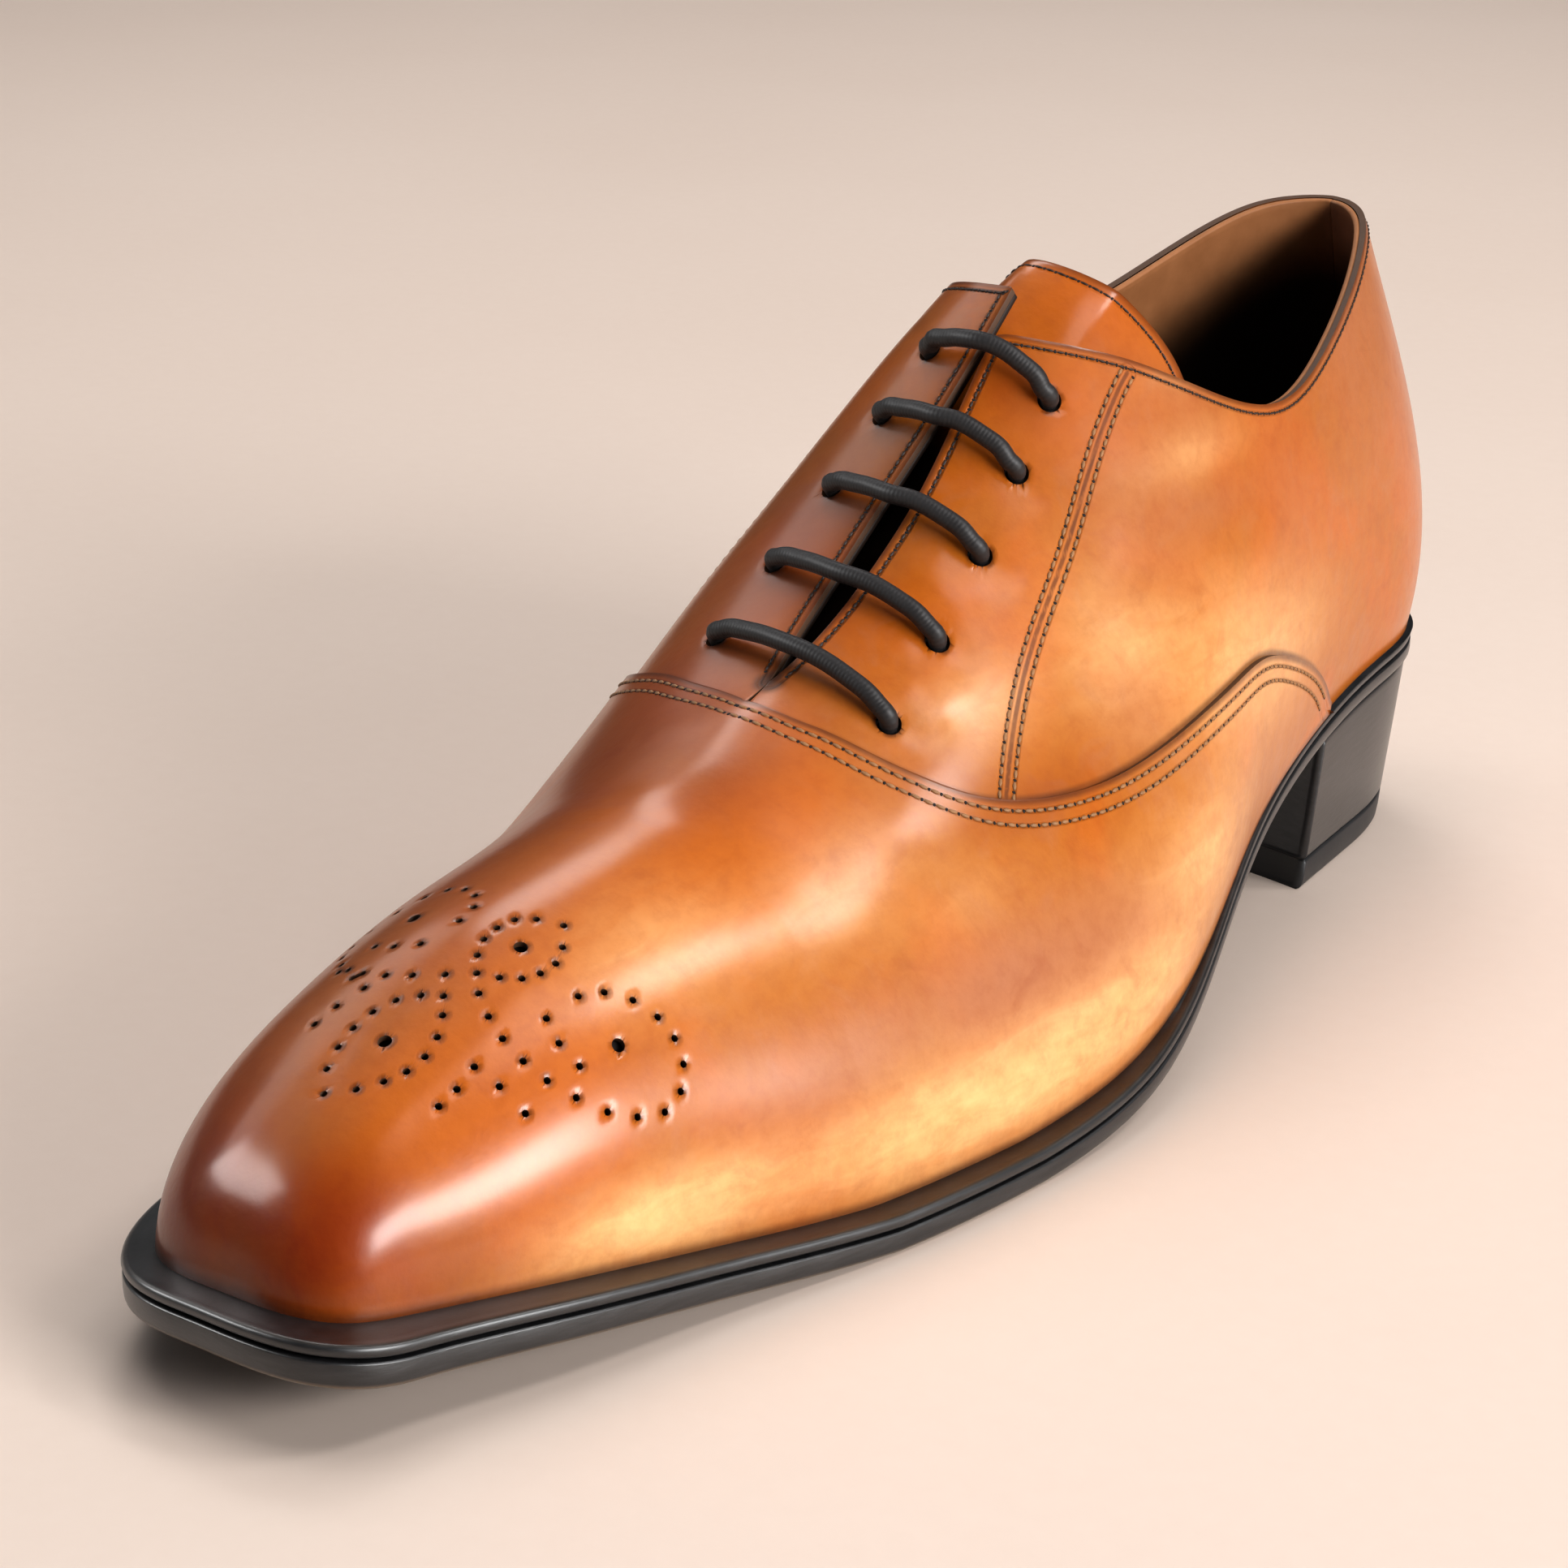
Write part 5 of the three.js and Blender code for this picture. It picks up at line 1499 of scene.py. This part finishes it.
BREAST_Y = BREAST * LAST_LENGTH
BACK_Y = 0.5 * LAST_LENGTH
BREAST_U = float(last_inside(lambda u: SECTION[OUTER]["along"](u) < BREAST_Y))


def heel_loop(push):
    u = np.linspace(BREAST_U, 1, 90)
    outer = edge_point(OUTER, u, SECTION[OUTER]["reach"](u) * 0 + push)
    inner = edge_point(INNER, u[::-1], SECTION[INNER]["reach"](u) * 0 + push)
    t = np.linspace(0, 1, 30)[1:-1, None]
    across = inner[-1] + (outer[0] - inner[-1]) * t
    across[:, 1] += (BREAST_HOLLOW * 4 * t * (1 - t))[:, 0]
    return np.concatenate([outer, inner[1:], across, outer[:1]])


def heel_block(knots, bottom, top):
    """A block of the heel. Each knot: share of the height, step out in mm, share of the way out, and how far
    the dressing turns lighter brown.
    """
    loops = []
    for share, push, out, brown_share in knots:
        loop = heel_loop(-HEEL_INSET + push * MM)
        centre = loop[:-1].mean(axis=0)
        loop = centre + (loop - centre) * max(out, 1e-4)
        low, high = bottom(loop[:, 1]), top(loop[:, 1])
        loop[:, 2] = low + share * (high - low)
        down = 1 - loop[:, 2] / HEEL_LIFT
        back = (loop[:, 1] - BREAST_Y) / (BACK_Y - BREAST_Y)
        loop[:, 0] *= 1 - HEEL_SIDES * down
        loop[:, 1] -= down * (BREAST_LEAN + (HEEL_BACK - BREAST_LEAN) * back)
        loops.append(loop)
    table = np.array(loops)
    bm = grid(table.shape[1] - 1, len(knots) - 1)
    flat = flat_of(bm)
    row = np.rint(flat[:, 1] * (len(knots) - 1)).astype(int)
    column = np.rint(flat[:, 0] * (table.shape[1] - 1)).astype(int)
    put(bm, table[row, column], {"rim": np.array(knots)[row, 3]})
    close_up(bm, 2e-5)
    bmesh.ops.recalc_face_normals(bm, faces=bm.faces)
    return bm


STACK_KNOTS = [
    (0, -0.9, 0, 0), (0, -0.9, 1, 0), (0.006, -0.35, 1, 0), (0.03, -0.05, 1, 0), (0.5, 0, 1, 0),
    (0.93, 0, 1, 0), (0.97, -0.25, 1, 0), (1, -0.9, 1, 0), (1, -0.9, 0, 0),
]
TOPLIFT_KNOTS = [
    (0, -1.0, 0, 0), (0, -1.0, 1, 0), (0.06, -0.4, 1, 0), (0.18, -0.1, 1, 0), (0.5, 0, 1, 0),
    (0.9, -0.05, 1, 0), (0.985, -0.4, 1, 0), (1, -0.9, 1, 0), (1, -0.9, 0, 0),
]


def build_heel():
    bm = heel_block(STACK_KNOTS, lambda y: 0 * y + TOPLIFT + 0.0001, lambda y: sole_bottom(y) - 0.0001)
    piece("heel_dressed", bm, black_edge, replaces=["heel_stack"])
    bm = heel_block(TOPLIFT_KNOTS, lambda y: 0 * y, lambda y: 0 * y + TOPLIFT)
    piece("heel_rubber_lift", bm, black_rubber, replaces=["heel_toplift"])


STRIP_HALF = 0.014
STRIP_FACE = 0.0002
STRIP_WALL = 0.0007


def build_back_strip():
    """The narrow strip over the seam at the back of the heel."""
    bm = grid(28, 60)
    flat = flat_of(bm)
    points = np.zeros((len(flat), 3))
    for side, mine in halves(flat):
        x = np.abs(2 * flat[mine, 0] - 1)
        u = 1 - STRIP_HALF * x * (0.75 + 0.25 * flat[mine, 1])
        v = upper_top(side, u) * (0.01 + 0.985 * flat[mine, 1])
        points[mine] = surface(side, u, v, STRIP_FACE)
    border = points[(flat[:, 0] < 0.001) | (flat[:, 0] > 0.999)]
    fields = tones(points)
    fields["seam"] = near(points, border)
    fields["hole"] = np.full(len(points), FAR)
    put(bm, points, fields)
    close_up(bm)
    u, v = np.array([1.0]), np.array([0.5])
    face_towards(bm, (last_point(OUTER, u, v)[0], (0, 1, 0)))
    piece("back_strip", bm, [tongue_calf, cut_edge], wall=STRIP_WALL, rim=0.00025)


HOLES = build_vamp()
build_medallion_shade(HOLES)
for side in SIDES:
    build_quarter(side)
build_lining()
build_back_strip()
build_tongue()
build_stitches()
build_lace()
build_eyelet_shades()
build_sole()
build_heel()


# Floor, light and camera
def add_floor():
    bm = bmesh.new()
    bmesh.ops.create_grid(bm, x_segments=1, y_segments=1, size=3)
    mesh = bpy.data.meshes.new("floor")
    bm.to_mesh(mesh)
    bm.free()
    mesh.materials.append(pale_floor())
    placed("floor", mesh)


def add_light(name, place, aim, size, strength, glossy=True, diffuse=True):
    """A soft box of that size in metres. strength is its brightness as seen from the shoe."""
    lamp = bpy.data.lights.new(name, "AREA")
    lamp.shape = "RECTANGLE"
    lamp.size, lamp.size_y = size
    lamp.energy = strength * size[0] * size[1] * math.pi
    made = placed(name, lamp)
    made.location = place
    made.rotation_euler = (Vector(aim) - Vector(place)).to_track_quat("-Z", "Y").to_euler()
    made.visible_glossy = glossy
    made.visible_diffuse = diffuse


CAMERA_PLACE = Vector((0.28562, -0.42708, 0.23340))
CAMERA_AIM = Vector((-0.01404, -0.01036, 0.03943))
CAMERA_ROLL = math.radians(0.333)
CAMERA_LENS = 84


def add_camera():
    data = bpy.data.cameras.new("camera")
    data.lens = CAMERA_LENS
    data.clip_start = 0.01
    made = placed("camera", data)
    turn = (CAMERA_AIM - CAMERA_PLACE).to_track_quat("-Z", "Y").to_matrix().to_4x4()
    made.matrix_world = Matrix.Translation(CAMERA_PLACE) @ turn @ Matrix.Rotation(CAMERA_ROLL, 4, "Z")
    bpy.context.scene.camera = made


add_floor()
add_light("toe_strip", (1.30, -0.10, 0.55), (0, -0.05, 0.04), (0.80, 0.34), 25)
add_light("toe_shine", (1.30, -0.10, 0.55), (0, -0.05, 0.04), (0.76, 0.30), 16, diffuse=False)
add_light("toe_glow", (1.50, -0.10, 0.62), (0, -0.05, 0.04), (1.60, 0.90), 1.6)
add_light("toe_panel", (-0.99, -0.775, 0.87), (0, -0.1, 0.05), (0.76, 0.58), 14, diffuse=False)
add_light("inner_panel", (-1.145, 0.10, 1.01), (0, 0, 0.05), (1.10, 0.50), 2.6, diffuse=False)
add_light("seam_panel", (0.66, 0.554, 1.15), (0, 0, 0.05), (0.28, 0.20), 22)
add_light("back_panel", (-0.645, 0.717, 1.20), (0, 0, 0.05), (0.42, 0.36), 8)
add_light("high_panel", (0.57, 0.21, 1.40), (0, 0, 0.05), (0.50, 0.50), 5)
add_light("ceiling", (-0.40, 0.20, 1.60), (0, 0, 0), (1.20, 1.00), 3.6, glossy=False)
add_light("far_floor", (-0.75, 1.15, 1.30), (-0.75, 1.15, 0), (1.60, 1.20), 1.2, glossy=False)
add_camera()
world = bpy.data.worlds.new("room")
world.use_nodes = True
world.node_tree.nodes["Background"].inputs["Color"].default_value = (0.93, 0.96, 1.0, 1)
world.node_tree.nodes["Background"].inputs["Strength"].default_value = 0.08
bpy.context.scene.world = world
bpy.context.scene.view_settings.view_transform = "Standard"
bpy.context.scene.view_settings.exposure = -0.26
bpy.context.scene.view_settings.gamma = 0.87
